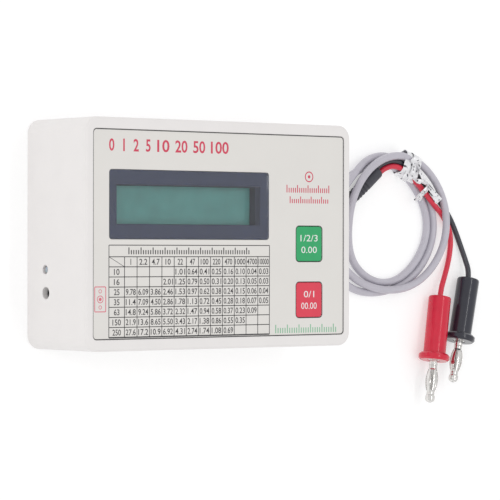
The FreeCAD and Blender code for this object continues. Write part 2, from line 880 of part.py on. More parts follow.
def cord_lead_in():
    """The stretch from the gland down onto the coil."""
    start = V(gland_face, gland_y, gland_z)
    route = [start, start.add(V(5.4, 0, 0)), beyond(18.2, 13.2, 6.6), beyond(24.4, 16.4, 4.2)]
    return tube("cord_lead_in", route, cord_diameter)


boot_way = V(math.cos(math.radians(boot_heading)), math.sin(math.radians(boot_heading)), 0)
boot_side = V(boot_way.y, -boot_way.x, 0)


def cable_boot():
    """The moulded boot: ribbed and tapered behind, smooth where the leads leave."""
    ribbed = boot_length - boot_smooth_length
    body = spin([(0, 0), (boot_tail_radius, 0), (boot_radius, ribbed), (boot_radius, boot_length), (0, boot_length)])
    body = round_level_edges(body, boot_length, 0.4)
    count = int(ribbed / rib_pitch)
    for i in range(count):
        z = (i + 0.5) * rib_pitch
        middle_radius = boot_tail_radius + (boot_radius - boot_tail_radius) * z / ribbed
        groove = rod(0, 0, z, z + rib_groove, boot_radius + 1)
        body = body.cut(groove.cut(rod(0, 0, z - 1, z + 2, middle_radius - rib_depth)))
    start = beyond(boot_end_x, boot_end_y, boot_radius).sub(boot_way * boot_length)
    return aim(body, start, boot_way)


def lead_start(side):
    """Where a lead leaves the boot's end, beside its neighbour."""
    offset = side * (lead_radius + lead_pair_gap / 2)
    return beyond(boot_end_x, boot_end_y, boot_radius).add(boot_side * offset)


plug_contact = plug_length - plug_flange_length
plug_pitch = math.atan((plug_flange_radius - plug_radius) / plug_contact)
plug_rise = plug_radius * math.cos(plug_pitch) - plug_round * math.sin(plug_pitch) + plug_lift
plug_places = {"red": (beyond(75.0, -24.0, plug_rise), 11.3), "black": (beyond(90.5, -17.0, plug_rise), 15.5)}


def plug_way(name):
    """The direction from a plug's cord end towards its pin."""
    yaw = math.radians(plug_places[name][1])
    level = math.cos(plug_pitch)
    return V(-math.sin(yaw) * level, -math.cos(yaw) * level, math.sin(plug_pitch))


def lead(name, side, middle):
    """A lead from the boot to its plug, ending inside the plug's sleeve."""
    start = lead_start(side)
    away = start.add(boot_way * 4.3)
    mouth = plug_places[name][0]
    way = plug_way(name)
    route = [start, away] + middle + [mouth.sub(way * 2.5), mouth.add(way * lead_bite)]
    return tube(f"{name}_lead", route, lead_diameter)


def red_lead():
    """The red lead: over the top of the coil, under the outer turn, down to its plug."""
    middle = [beyond(52.0, 28.2, 2.7), beyond(57.1, 26.9, 2.6), beyond(61.6, 24.2, 2.0), beyond(66.0, 21.0, 1.3),
              beyond(70.4, 16.9, 1.1), beyond(74.9, 12.6, 1.15), beyond(79.2, 8.6, 1.1), beyond(82.9, 4.3, 1.15),
              beyond(83.9, -1.2, 1.1), beyond(83.2, -6.9, 1.2), beyond(81.2, -12.0, 1.9), beyond(78.3, -16.9, 3.1)]
    return lead("red", 1, middle)


def black_lead():
    """The black lead: outside the red one all the way."""
    middle = [beyond(51.0, 30.7, 2.7), beyond(56.3, 29.7, 2.6), beyond(61.3, 27.1, 2.0), beyond(66.3, 23.9, 1.3),
              beyond(71.1, 20.1, 1.1), beyond(75.6, 16.0, 1.15), beyond(79.9, 11.9, 1.1), beyond(83.6, 7.3, 1.15),
              beyond(86.4, 2.2, 1.1), beyond(88.8, -3.2, 1.3), beyond(90.6, -8.8, 2.2)]
    return lead("black", -1, middle)


def coil_tie():
    """The wrapped strip that holds the coil, with its twisted stem and two ends."""
    clock = math.radians(tie_clock)
    out = V(math.sin(clock), math.cos(clock), 0)
    along = V(math.cos(clock), -math.sin(clock), 0)
    middle = beyond(coil_x, coil_y, 0).add(out * ((tie_reach_in + tie_reach_out) / 2))
    reach = tie_reach_out - tie_reach_in
    block = Part.makeBox(tie_width, reach, tie_height, V(-tie_width / 2, -reach / 2, 0))
    inside = Part.makeBox(tie_width + 2, reach - 2 * tie_skin, tie_height - 2 * tie_skin,
                          V(-tie_width / 2 - 1, -reach / 2 + tie_skin, tie_skin))
    band = block.cut(inside)
    band.Placement = FreeCAD.Placement(middle, FreeCAD.Rotation(along, out, UP, "XYZ"))
    root = middle.add(V(0, 0, tie_height - tie_skin)).sub(out * (reach / 4))
    knot = beyond(66.8, 20.0, 6.0)
    stem = strip(root, knot, 1.6, 1.2)
    first = strip(knot, beyond(74.4, 14.0, 4.6), 2.6, 0.4)
    second = strip(knot, beyond(61.4, 14.6, 4.8), 2.0, 0.4)
    return fuse([band, stem, first, second])


# ---- plugs ----
def plug_shell():
    """The insulating sleeve, with a rim at the pin's end."""
    collar = plug_length - plug_flange_length
    bore_start = plug_length - pin_bore_length
    soft = plug_round
    return spin([(lead_radius, 0), (plug_radius - soft, 0), (plug_radius - soft * 0.3, soft * 0.3),
                 (plug_radius, soft), (plug_radius, collar), (plug_flange_radius - soft, collar),
                 (plug_flange_radius, collar + soft), (plug_flange_radius, plug_length - soft),
                 (plug_flange_radius - soft, plug_length), (pin_bore_radius, plug_length),
                 (pin_bore_radius, bore_start), (lead_radius, bore_start)])


def plug_pin():
    """The solid pin: shank in the sleeve, neck, thin core and rounded tip."""
    shank_start = plug_length - pin_bore_length + 1.0
    shank = pin_bore_radius - pin_fit_gap
    neck_end = plug_length + neck_length
    cage_end = neck_end + cage_length
    tip_end = cage_end + tip_length
    pin = spin([(0, shank_start), (shank, shank_start), (shank, plug_length - 0.2), (neck_radius, plug_length),
                (neck_radius, neck_end), (core_radius, neck_end), (core_radius, cage_end), (neck_radius, cage_end),
                (tip_radius, cage_end + 0.5), (tip_radius, cage_end + 0.55 * tip_length),
                (tip_radius * 0.9, cage_end + 0.78 * tip_length), (tip_radius * 0.66, cage_end + 0.93 * tip_length),
                (tip_radius * 0.4, tip_end), (0, tip_end)])
    return pin.cut(rod(0, 0, tip_end - 1.2, tip_end + 1, tip_hole_radius))


def plug_cage():
    """The bulged spring sleeve that turns freely on the pin's core."""
    start = plug_length + neck_length + cage_run_gap
    end = plug_length + neck_length + cage_length - cage_run_gap
    middle = (start + end) / 2
    inner_end = core_radius + cage_run_gap
    outer_curve = Part.Arc(V(cage_end_radius, 0, start + 1.2), V(cage_bulge, 0, middle), V(cage_end_radius, 0, end - 1.2))
    inner_curve = Part.Arc(V(cage_end_radius - cage_skin, 0, end - 1.2), V(cage_bulge - cage_skin, 0, middle),
                           V(cage_end_radius - cage_skin, 0, start + 1.2))
    corners = [V(cage_end_radius, 0, end - 1.2), V(cage_end_radius, 0, end), V(inner_end, 0, end),
               V(inner_end, 0, end - 1.2), V(cage_end_radius - cage_skin, 0, end - 1.2)]
    starts = [V(cage_end_radius - cage_skin, 0, start + 1.2), V(inner_end, 0, start + 1.2),
              V(inner_end, 0, start), V(cage_end_radius, 0, start), V(cage_end_radius, 0, start + 1.2)]
    edges = [outer_curve.toShape()]
    edges += [Part.LineSegment(a, b).toShape() for a, b in zip(corners, corners[1:])]
    edges += [inner_curve.toShape()]
    edges += [Part.LineSegment(a, b).toShape() for a, b in zip(starts, starts[1:])]
    body = Part.Face(Part.Wire(edges)).revolve(V(0, 0, 0), UP, 360)
    for i in range(cage_slots):
        slot = Part.makeBox(cage_bulge + 1, cage_slot_width, end - start - 3.6, V(0, -cage_slot_width / 2, start + 1.8))
        slot.rotate(V(0, 0, 0), UP, 360 * i / cage_slots)
        body = body.cut(slot)
    return body


def placed_plug_part(name, shape):
    """Set a plug part built along +Z in its place on the table."""
    return aim(shape, plug_places[name][0], plug_way(name))


# ---- every node ----
def all_nodes():
    """Node name to shape."""
    nodes = {
        "case_body": case_body(), "back_cover": back_cover(), "battery_door": battery_door(),
        "face_label": face_label(), "window_lens": window_lens(), "window_mask": window_mask(),
        "lcd_bezel": lcd_bezel(), "lcd_glass": display_layer(glass_top - glass_thick, glass_top),
        "lcd_light": display_layer(display_board_top, glass_top - glass_thick), "lcd_board": lcd_board(),
        "header_strip": header_strip(), "header_pins": header_pins(), "main_board": main_board(),
        "chip_socket": chip_socket(), "controller_chip": controller_chip(), "capacitors": capacitors(),
        "crystal_can": crystal_can(), "resistors": resistors(),
        "side_board": side_board(), "power_socket": power_socket(), "socket_pin": socket_pin(),
        "power_lamp": power_lamp(), "lamp_legs": lamp_legs(),
        "battery": battery(), "battery_terminals": battery_terminals(), "battery_snap": battery_snap(),
        "battery_wire_red": battery_wire("battery_wire_red", 1),
        "battery_wire_black": battery_wire("battery_wire_black", -1),
        "supply_wire_red": supply_wire("supply_wire_red", 2.0),
        "supply_wire_black": supply_wire("supply_wire_black", -2.0),
        "case_screws": case_screws(), "display_screws": board_screws(display_places, display_board_foot),
        "board_screws": board_screws(main_places, main_board_foot), "side_board_screws": side_board_screws(),
        "cord_gland": cord_gland(), "cord_tail": cord_tail(),
        "tail_wire_red": tail_wire("tail_wire_red", 0.75), "tail_wire_black": tail_wire("tail_wire_black", -0.75),
        "cord_lead_in": cord_lead_in(), "cord_coil": cord_coil(), "cable_boot": cable_boot(),
        "red_lead": red_lead(), "black_lead": black_lead(), "coil_tie": coil_tie(),
    }
    for name, y in key_places.items():
        nodes[f"{name}_key"] = key_cap(y)
        nodes[f"{name}_key_plunger"] = key_plunger(y)
        nodes[f"{name}_key_switch"] = key_switch(y)
    for name in plug_places:
        nodes[f"{name}_plug_sleeve"] = placed_plug_part(name, plug_shell())
        nodes[f"{name}_plug_pin"] = placed_plug_part(name, plug_pin())
        nodes[f"{name}_plug_cage"] = placed_plug_part(name, plug_cage())
    return nodes


os.makedirs("parts", exist_ok=True)
for node_name, shape in all_nodes().items():
    if not shape.isValid():
        print("NOT VALID", node_name)
    shape.exportStep(f"parts/{node_name}.step")
    print(f"{node_name}: {len(shape.Solids)} solid(s), {shape.Volume:.1f} mm3")
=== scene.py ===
# %% [markdown]
# # A bench component tester on a white table
# The design model already holds every part at its true size and place. This lesson adds what a design model
# leaves out: the print on the face, real cords instead of plain tubes, a ribbed boot, a crumpled tie, and a
# finish for every surface. All lengths here are metres, so sizes are written times `mm`.

# %% Load the measured frame
import json
import math
import bpy
import numpy as np
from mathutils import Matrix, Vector


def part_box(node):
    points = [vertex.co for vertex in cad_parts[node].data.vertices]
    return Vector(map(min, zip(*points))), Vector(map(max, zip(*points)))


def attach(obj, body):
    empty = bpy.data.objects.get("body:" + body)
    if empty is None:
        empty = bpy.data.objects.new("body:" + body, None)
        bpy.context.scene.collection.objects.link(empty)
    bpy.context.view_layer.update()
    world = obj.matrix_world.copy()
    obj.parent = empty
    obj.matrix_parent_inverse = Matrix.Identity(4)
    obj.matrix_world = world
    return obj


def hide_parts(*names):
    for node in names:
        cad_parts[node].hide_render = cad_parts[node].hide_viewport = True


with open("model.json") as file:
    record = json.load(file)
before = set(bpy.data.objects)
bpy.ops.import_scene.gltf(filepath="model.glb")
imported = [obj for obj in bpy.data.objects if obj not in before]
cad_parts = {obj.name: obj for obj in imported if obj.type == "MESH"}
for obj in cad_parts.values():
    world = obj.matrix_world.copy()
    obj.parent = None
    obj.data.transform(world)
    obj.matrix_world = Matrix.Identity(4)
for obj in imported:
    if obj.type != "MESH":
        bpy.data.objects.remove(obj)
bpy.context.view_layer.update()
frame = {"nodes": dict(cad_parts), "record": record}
mm = 0.001
UP = np.array([0.0, 0.0, 1.0])

# %% [markdown]
# ## Where things are
# Places are read from the frame's own boxes, so nothing here has to be moved if the design changes a little.
# A box is two corners, the lowest and the highest.


# %% Boxes of the parts that the new pieces sit on
def box_of(node):
    """The low and high corner of a part, as two arrays."""
    low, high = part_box(node)
    return np.array(low), np.array(high)


label_low, label_high = box_of("face_label")
lens_low, lens_high = box_of("window_lens")
face_z = label_high[2]
print("label", np.round((label_high - label_low) / mm, 1), "mm, its face at", round(face_z / mm, 2), "mm")

# %% [markdown]
# ## Camera
# The tester is seen from its left, 38 degrees off the line that stands square on its face, through a long
# lens. A long lens keeps the two long edges of the case nearly parallel, which is how a catalogue picture
# looks. The camera could be tied to a target, but two plain numbers for place and turn are easier to read.

# %% Camera
camera_place = (-0.59030, -0.00509, 0.80092)
camera_degrees = (-0.094, -38.268, 0.118)
lens = bpy.data.cameras.new("camera")
lens.lens = 193.06
lens.sensor_width = 36.0
camera = bpy.data.objects.new("camera", lens)
bpy.context.scene.collection.objects.link(camera)
camera.location = camera_place
camera.rotation_euler = [math.radians(turn) for turn in camera_degrees]
bpy.context.scene.camera = camera
bpy.context.scene.view_settings.view_transform = "Standard"
print("camera", round(Vector(camera.location).length, 3), "m from the origin")

# %% [markdown]
# ## Studio
# A white table under a white tent: most of the light comes from all round, and four panels give it a
# direction and leave soft streaks on the glossy parts. Small lamps would make hard shadows, which such a
# tent doesn't have. The table glows a little, so that it stays white where the tester keeps light off it.


# %% Table, tent and light panels
def panel(name, place, target, size, power):
    """A light panel at place, size (width, length), turned towards target, its length along the bench."""
    light = bpy.data.lights.new(name, "AREA")
    light.shape = "RECTANGLE"
    light.size, light.size_y = size
    light.energy = power
    holder = bpy.data.objects.new(name, light)
    bpy.context.scene.collection.objects.link(holder)
    holder.location = place
    holder.rotation_euler = (Vector(target) - Vector(place)).to_track_quat("-Z", "Y").to_euler()
    return holder


tent_strength = 0.82
world = bpy.data.worlds.new("tent")
bpy.context.scene.world = world
world.use_nodes = True
world.node_tree.nodes["Background"].inputs["Color"].default_value = (1.0, 1.0, 1.0, 1.0)
world.node_tree.nodes["Background"].inputs["Strength"].default_value = tent_strength

panel("panel_left", (-0.75, 0.15, 0.55), (0.02, 0.0, 0.02), (0.16, 0.8), 0.95)
panel("panel_top", (0.15, 0.35, 0.9), (0.04, 0.0, 0.0), (0.7, 0.7), 0.15)
panel("panel_over", (0.13, -0.05, 0.9), (0.13, -0.04, 0.0), (0.035, 0.9), 0.9)
panel("panel_right", (0.75, -0.25, 0.5), (0.08, 0.0, 0.0), (0.14, 0.14), 0.1)

table_reach = 3.0
table_gap = 0.05 * mm
table_shade = 0.62
table_glow = 0.44
table_points = np.array([[-1, -1, 0], [1, -1, 0], [1, 1, 0], [-1, 1, 0]]) * table_reach
table_mesh = bpy.data.meshes.new("table_top")
table_mesh.from_pydata(table_points - UP * table_gap, [], [(0, 1, 2, 3)])
table_top = bpy.data.objects.new("table_top", table_mesh)
bpy.context.scene.collection.objects.link(table_top)
white = bpy.data.materials.new("white_table")
white.use_nodes = True
paper = white.node_tree.nodes["Principled BSDF"]
paper.inputs["Base Color"].default_value = (table_shade, table_shade, table_shade, 1.0)
paper.inputs["Roughness"].default_value = 0.9
paper.inputs["Emission Color"].default_value = (1.0, 1.0, 1.0, 1.0)
paper.inputs["Emission Strength"].default_value = table_glow
table_mesh.materials.append(white)
print("studio ready")

# %% [markdown]
# ## Shapes as grids of points
# Every new piece is a grid: rows along it, columns round it. One function turns a grid into faces, and the
# sign of the enclosed volume tells whether those faces look outwards, so no piece can come out inside out.


# %% From a grid to a mesh
def grid_quads(rows, columns, closed_rows=False, closed_columns=False):
    """Four corners for each cell of a grid; a closed direction joins its last line to its first."""
    i = np.arange(rows if closed_rows else rows - 1)[:, None]
    j = np.arange(columns if closed_columns else columns - 1)[None, :]
    next_i, next_j = (i + 1) % rows, (j + 1) % columns
    cells = [i * columns + j, i * columns + next_j, next_i * columns + next_j, next_i * columns + j]
    return np.stack([np.broadcast_to(c, (i.size, j.size)) for c in cells], axis=-1).reshape(-1, 4)


def outward(points, quads, triangles):
    """The same faces, turned over if the volume they enclose, the sum of the signed tetrahedra from the
    middle to each triangle, is negative."""
    flat = np.concatenate([quads[:, [0, 1, 2]], quads[:, [0, 2, 3]], triangles])
    a, b, c = np.moveaxis((points - points.mean(axis=0))[flat], 1, 0)
    if np.einsum("ij,ij->", a, np.cross(b, c)) < 0:
        return quads[:, ::-1], triangles[:, ::-1]
    return quads, triangles


NO_TRIANGLES = np.zeros((0, 3), int)
NO_QUADS = np.zeros((0, 4), int)


def mesh_from(name, points, quads=NO_QUADS, triangles=NO_TRIANGLES, sharp_above=40.0):
    """A smooth mesh whose edges are sharp where its faces meet at more than sharp_above degrees."""
    quads, triangles = outward(points, quads, triangles)
    mesh = bpy.data.meshes.new(name)
    mesh.from_pydata(points.tolist(), [], quads.tolist() + triangles.tolist())
    mesh.shade_smooth()
    mesh.set_sharp_from_angle(angle=math.radians(sharp_above))
    return mesh


def capped(rings, first, last):
    """Points, quads and triangles of a tube of rings whose two ends are closed by fans to first and last."""
    rows, columns = rings.shape[:2]
    points = np.concatenate([rings.reshape(-1, 3), [first, last]])
    j = np.arange(columns)
    k = (j + 1) % columns
    start, end, base = rows * columns, rows * columns + 1, (rows - 1) * columns
    fans = np.concatenate([np.stack([np.full(columns, start), k, j], 1),
                           np.stack([np.full(columns, end), base + j, base + k], 1)])
    return points, grid_quads(rows, columns, closed_columns=True), fans


def joined(parts):
    """One set of points, quads and triangles out of several."""
    sizes = np.cumsum([0] + [len(p[0]) for p in parts])
    return (np.concatenate([p[0] for p in parts]),
            np.concatenate([p[1] + s for p, s in zip(parts, sizes)]),
            np.concatenate([p[2] + s for p, s in zip(parts, sizes)]))


def unit(vector):
    """The vector at length one."""
    return np.asarray(vector, float) / np.linalg.norm(vector)


def across(way):
    """Two directions square to way and to each other: a level one and the one above it."""
    level = unit(np.cross(UP, way)) if abs(way[2]) < 0.99 else np.array([1.0, 0.0, 0.0])
    return level, np.cross(way, level)


def turned(profile, origin, way, sides):
    """A turned solid: a circle of the profile's radius at each of its distances along way from origin,
    closed on the axis at both ends."""
    profile = np.asarray(profile, float)
    level, above = across(way)
    angle = np.linspace(0, 2 * np.pi, sides, endpoint=False)
    circle = np.cos(angle)[:, None] * level + np.sin(angle)[:, None] * above
    rings = origin + profile[:, None, :1] * way + profile[:, None, 1:] * circle
    return capped(rings, origin + way * profile[0, 0], origin + way * profile[-1, 0])


def piece(name, mesh, body, material):
    """A finished piece: it stands at the origin, rides on a body and takes the given finish."""
    thing = bpy.data.objects.new(name, mesh)
    bpy.context.scene.collection.objects.link(thing)
    mesh.materials.append(material)
    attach(thing, body)
    return thing


print("a 3 by 4 grid has", len(grid_quads(3, 4)), "cells")

# %% [markdown]
# ## Finishes
# A moulded plastic isn't one flat colour: it has faint clouds from the melt and a fine grain from the mould.
# Each finish below is a small node tree made by one function: clouds mix two shades, a finer noise moves the
# roughness, and the same noise raises a bump. Where an edge is rounded for the light, its colour may also go
# lighter: a painted highlight along the edges. Image textures would look the same from one distance only, so
# every pattern here is worked out from Object coordinates.


# %% A builder for finishes
def socket_values(shader, values):
    """Sets plain values straight on the shader's own sockets."""
    for name, value in values.items():
        shader.inputs[name].default_value = value


def noise(nodes, links, place, scale, detail=3.0, stretch=None):
    """A noise texture on Object coordinates, stretched along the axes if asked."""
    source = place
    if stretch is not None:
        mapping = nodes.new("ShaderNodeMapping")
        mapping.inputs["Scale"].default_value = stretch
        links.new(place, mapping.inputs["Vector"])
        source = mapping.outputs["Vector"]
    texture = nodes.new("ShaderNodeTexNoise")
    texture.inputs["Scale"].default_value = scale
    texture.inputs["Detail"].default_value = detail
    links.new(source, texture.inputs["Vector"])
    return texture.outputs["Fac"]


def spread(nodes, links, value, low, high, start=0.3, end=0.7):
    """Carries start..end to low..high."""
    ramp = nodes.new("ShaderNodeMapRange")
    ramp.inputs["From Min"].default_value = start
    ramp.inputs["From Max"].default_value = end
    ramp.inputs["To Min"].default_value = low
    ramp.inputs["To Max"].default_value = high
    links.new(value, ramp.inputs["Value"])
    return ramp.outputs["Result"]


def mixed(nodes, links, factor, first, second):
    """A colour between first and second; either may be a colour or another node's output."""
    mix = nodes.new("ShaderNodeMix")
    mix.data_type = "RGBA"
    links.new(factor, mix.inputs["Factor"])
    for socket, colour in ((mix.inputs["A"], first), (mix.inputs["B"], second)):
        if isinstance(colour, bpy.types.NodeSocket):
            links.new(colour, socket)
        else:
            socket.default_value = (*colour, 1.0)
    return mix.outputs["Result"]


def finish(name, colour, rough=0.5, clouds=0.05, cloud_size=6.0, grain=0.25, grain_depth=0.004,
           edge_highlight=0.0, edge_highlight_colour=(0.9, 0.9, 0.9), edge=0.15, stretch=None, rough_spread=0.06, **sockets):
    """Clouds cloud_size mm wide move the colour by the share clouds; a grain grain mm wide moves the
    roughness by rough_spread and raises a bump grain_depth mm deep. Edges are rounded by edge mm for the
    light only, and where that rounding bends the surface most the colour goes lighter, towards the given edge
    colour: a painted highlight along the edges."""
    material = bpy.data.materials.new(name)
    material.use_nodes = True
    nodes, links = material.node_tree.nodes, material.node_tree.links
    shader = nodes["Principled BSDF"]
    place = nodes.new("ShaderNodeTexCoord").outputs["Object"]
    cloud = noise(nodes, links, place, 1.0 / (cloud_size * mm), stretch=stretch)
    fine = noise(nodes, links, place, 1.0 / (grain * mm), stretch=stretch)
    darker = [c * (1 - clouds) for c in colour]
    lighter = [min(1.0, c * (1 + clouds)) for c in colour]
    shade = mixed(nodes, links, spread(nodes, links, cloud, 0.0, 1.0), darker, lighter)
    bevel = nodes.new("ShaderNodeBevel")
    bevel.inputs["Radius"].default_value = edge * mm
    if edge_highlight > 0:
        geometry = nodes.new("ShaderNodeNewGeometry")
        bend = nodes.new("ShaderNodeVectorMath")
        bend.operation = "DOT_PRODUCT"
        links.new(bevel.outputs["Normal"], bend.inputs[0])
        links.new(geometry.outputs["True Normal"], bend.inputs[1])
        # Painted highlight: where the bevel bends the normal most, the colour goes lighter.
        edge_highlight_share = spread(nodes, links, bend.outputs["Value"], edge_highlight, 0.0, 0.75, 0.99)
        shade = mixed(nodes, links, edge_highlight_share, shade, edge_highlight_colour)
    links.new(shade, shader.inputs["Base Color"])
    roughness = spread(nodes, links, fine, rough - rough_spread, rough + rough_spread)
    links.new(roughness, shader.inputs["Roughness"])
    bump = nodes.new("ShaderNodeBump")
    bump.inputs["Strength"].default_value = 0.5
    bump.inputs["Distance"].default_value = grain_depth * mm
    links.new(fine, bump.inputs["Height"])
    links.new(bevel.outputs["Normal"], bump.inputs["Normal"])
    links.new(bump.outputs["Normal"], shader.inputs["Normal"])
    socket_values(shader, {socket.replace("_", " "): value for socket, value in sockets.items()})
    return material


print("finishes read Object coordinates only")

# %% [markdown]
# ## One finish for each slot of the record
# The case is off-white moulded plastic, the face a printed film with a soft sheen, the plugs glossy vinyl
# over nickel. Colours are given as the surface's own colour, not as it looks under the lamps, so the same
# finish holds under any light. The lighter edges of some finishes are the exception: a painted highlight.

# %% The finishes
COAT = {"Coat_Weight": 0.2, "Coat_Roughness": 0.08}
FINISHES = {
    # Painted highlight: the lighter edge colours below lighten the edges of the case, door, keys and black
    # parts.
    "case_plastic": finish("case_plastic", (0.80, 0.775, 0.765), 0.42, 0.012, 9.0, 0.35, 0.006,
                           edge_highlight=0.25, edge=0.4),
    "door_plastic": finish("door_plastic", (0.79, 0.765, 0.75), 0.45, 0.014, 9.0, 0.35, 0.006,
                           edge_highlight=0.25, edge=0.3),
    "label_film": finish("label_film", (0.735, 0.715, 0.685), 0.38, 0.012, 14.0, 0.22, 0.002, edge=0.2),
    "window_border": finish("window_border", (0.008, 0.014, 0.055), 0.4, 0.05, 5.0, 0.4, 0.0002,
                            rough_spread=0.02),
    "bezel_metal": finish("bezel_metal", (0.045, 0.05, 0.062), 0.38, 0.1, 3.0, 0.2, 0.003, Metallic=0.6),
    "light_guide": finish("light_guide", (0.75, 0.8, 0.7), 0.35, 0.03, Subsurface_Weight=0.2),
    "board_green": finish("board_green", (0.03, 0.2, 0.09), 0.35, 0.25, 1.4, 0.5, 0.01, **COAT),
    "black_plastic": finish("black_plastic", (0.028, 0.028, 0.031), 0.45, 0.12, edge_highlight=0.15,
                            edge_highlight_colour=(0.12, 0.12, 0.12)),
    "pin_gold": finish("pin_gold", (0.83, 0.62, 0.27), 0.25, 0.08, 1.0, Metallic=1.0),
    "chip_black": finish("chip_black", (0.024, 0.024, 0.027), 0.6, 0.15, 1.0, 0.12, 0.008),
    "can_sleeve": finish("can_sleeve", (0.035, 0.045, 0.13), 0.3, 0.08, 2.0),
    "can_metal": finish("can_metal", (0.62, 0.62, 0.6), 0.3, 0.06, 2.0, stretch=(1, 12, 1), Metallic=1.0),
    "resistor_body": finish("resistor_body", (0.6, 0.43, 0.27), 0.4, 0.08, 0.8),
    "socket_black": finish("socket_black", (0.028, 0.028, 0.032), 0.45, 0.1),
    "contact_nickel": finish("contact_nickel", (0.68, 0.665, 0.64), 0.2, 0.05, 1.0, Metallic=1.0),
    "lamp_lens": finish("lamp_lens", (0.42, 0.40, 0.43), 0.15, 0.04, 1.0, Subsurface_Weight=0.3, **COAT),
    "battery_wrap": finish("battery_wrap", (0.14, 0.15, 0.17), 0.3, 0.08, 3.0),
    "wire_red": finish("wire_red", (0.6, 0.02, 0.025), 0.4, 0.05, 1.0),
    "wire_black": finish("wire_black", (0.02, 0.02, 0.022), 0.4, 0.08, 1.0),
    "screw_steel": finish("screw_steel", (0.6, 0.6, 0.62), 0.3, 0.07, 0.8, Metallic=1.0),
    "gland_rubber": finish("gland_rubber", (0.05, 0.05, 0.057), 0.5, 0.15, 1.5, 0.15, 0.006, edge_highlight=0.2,
                           edge_highlight_colour=(0.16, 0.16, 0.17)),
    "cord_grey": finish("cord_grey", (0.51, 0.49, 0.55), 0.42, 0.03, 4.0, 0.2, 0.004, **COAT),
    "boot_rubber": finish("boot_rubber", (0.042, 0.043, 0.056), 0.45, 0.12, 2.0, 0.15, 0.006, edge_highlight=0.3,
                          edge_highlight_colour=(0.14, 0.14, 0.16)),
    "lead_red": finish("lead_red", (0.66, 0.022, 0.055), 0.33, 0.05, 3.0, **COAT),
    "lead_black": finish("lead_black", (0.035, 0.036, 0.048), 0.33, 0.1, 3.0, **COAT),
    "key_green": finish("key_green", (0.022, 0.37, 0.13), 0.36, 0.03, 4.0, 0.18, 0.003, edge_highlight=0.35,
                        edge_highlight_colour=(0.2, 0.62, 0.33), edge=0.3),
    "key_red": finish("key_red", (0.71, 0.045, 0.082), 0.36, 0.03, 4.0, 0.18, 0.003, edge_highlight=0.35,
                      edge_highlight_colour=(0.9, 0.3, 0.34), edge=0.3),
    "plunger_black": finish("plunger_black", (0.03, 0.03, 0.033), 0.4, 0.08),
    "switch_metal": finish("switch_metal", (0.6, 0.6, 0.59), 0.35, 0.06, 1.5, Metallic=1.0),
    "sleeve_red": finish("sleeve_red", (0.63, 0.004, 0.034), 0.16, 0.04, 4.0, 0.3, 0.003, **COAT),
    "sleeve_black": finish("sleeve_black", (0.02, 0.021, 0.034), 0.14, 0.1, 4.0, 0.3, 0.003, **COAT),
    "plug_nickel": finish("plug_nickel", (0.74, 0.725, 0.705), 0.13, 0.08, 1.6, 0.25, 0.002, Metallic=1.0),
}
print(len(FINISHES), "finishes")

# %% [markdown]
# ## Display glass, window and foil
# The display's glass is grey-green, with slow blotches where the fluid and the light guide behind it vary.
# Two finishes need more than the common builder. The window is clear acrylic, so it lets light through and
# only its gloss shows; it has no bump, which would blur the display. The foil of the tie is crumpled metal: a
# cell texture adds a second, larger bump of facets, and deep in the strip's own folds the colour is painted
# dark, painted shade for the dark accents such foil shows there.


# %% Display glass, window and foil
def added_bump(material, texture_type, size, depth):
    """A second, larger bump on a finish: the texture's cells are size mm wide and depth mm deep."""
    nodes, links = material.node_tree.nodes, material.node_tree.links
    place = nodes["Texture Coordinate"].outputs["Object"]
    texture = nodes.new(texture_type)
    texture.inputs["Scale"].default_value = 1.0 / (size * mm)
    links.new(place, texture.inputs["Vector"])
    second = nodes.new("ShaderNodeBump")
    second.inputs["Strength"].default_value = 0.8
    second.inputs["Distance"].default_value = depth * mm
    links.new(texture.outputs[0], second.inputs["Height"])
    links.new(nodes["Bump"].outputs["Normal"], second.inputs["Normal"])
    links.new(second.outputs["Normal"], nodes["Principled BSDF"].inputs["Normal"])
    return material


def paint_fold_shade(material, dark):
    """Painted shade: the colour goes towards dark as the piece's own share, kept for each point deep in its
    folds, goes to one.
    """
    nodes, links = material.node_tree.nodes, material.node_tree.links
    fold_shade = nodes.new("ShaderNodeAttribute")
    fold_shade.attribute_name = "fold_shade"
    base = nodes["Principled BSDF"].inputs["Base Color"]
    before = base.links[0].from_socket
    links.new(mixed(nodes, links, fold_shade.outputs["Fac"], before, dark), base)
    return material


FINISHES["lcd_green"] = finish("lcd_green", (0.070, 0.24, 0.215), 0.3, 0.10, 5.5, 0.5, 0.0001,
                               rough_spread=0.01)
FINISHES["tie_foil"] = added_bump(
    finish("tie_foil", (0.86, 0.86, 0.88), 0.34, 0.08, 1.2, 0.3, 0.006, rough_spread=0.08, edge=0.02,
           Metallic=0.45),
    "ShaderNodeTexVoronoi", 2.6, 0.10)
# Painted shade: the foil's colour goes dark deep in its folds.
paint_fold_shade(FINISHES["tie_foil"], (0.05, 0.05, 0.065))
clear = finish("window_clear", (0.93, 0.96, 0.98), 0.012, 0.01, 12.0, 2.0, 0.0, rough_spread=0.004,
               edge=0.02)
for link in list(clear.node_tree.nodes["Principled BSDF"].inputs["Normal"].links):
    clear.node_tree.links.remove(link)
socket_values(clear.node_tree.nodes["Principled BSDF"], {"Transmission Weight": 1.0, "IOR": 1.46})
FINISHES["window_clear"] = clear

for row in frame["record"]["subparts"]:
    thing = frame["nodes"].get(row["node"])
    if thing is not None:
        for holder in thing.material_slots:
            holder.material = FINISHES[row["material_slot"]]
frame["nodes"]["window_lens"].visible_shadow = False
print("every part of the frame has its finish")

# %% [markdown]
# ## The grey cord
# A thin two-core test cord leaves the rubber gland, drops to the table and lies there in three loose turns
# before it ends in a boot. It could be a swept circle along arcs, but a real cord has no arcs: its curve
# changes slowly everywhere. So it is one NURBS line whose control points a loop works out. The turns are
# given as how far out and how high the cord is at every eighth of a turn, in mm, and a smooth line through
# those values fills in the rest.


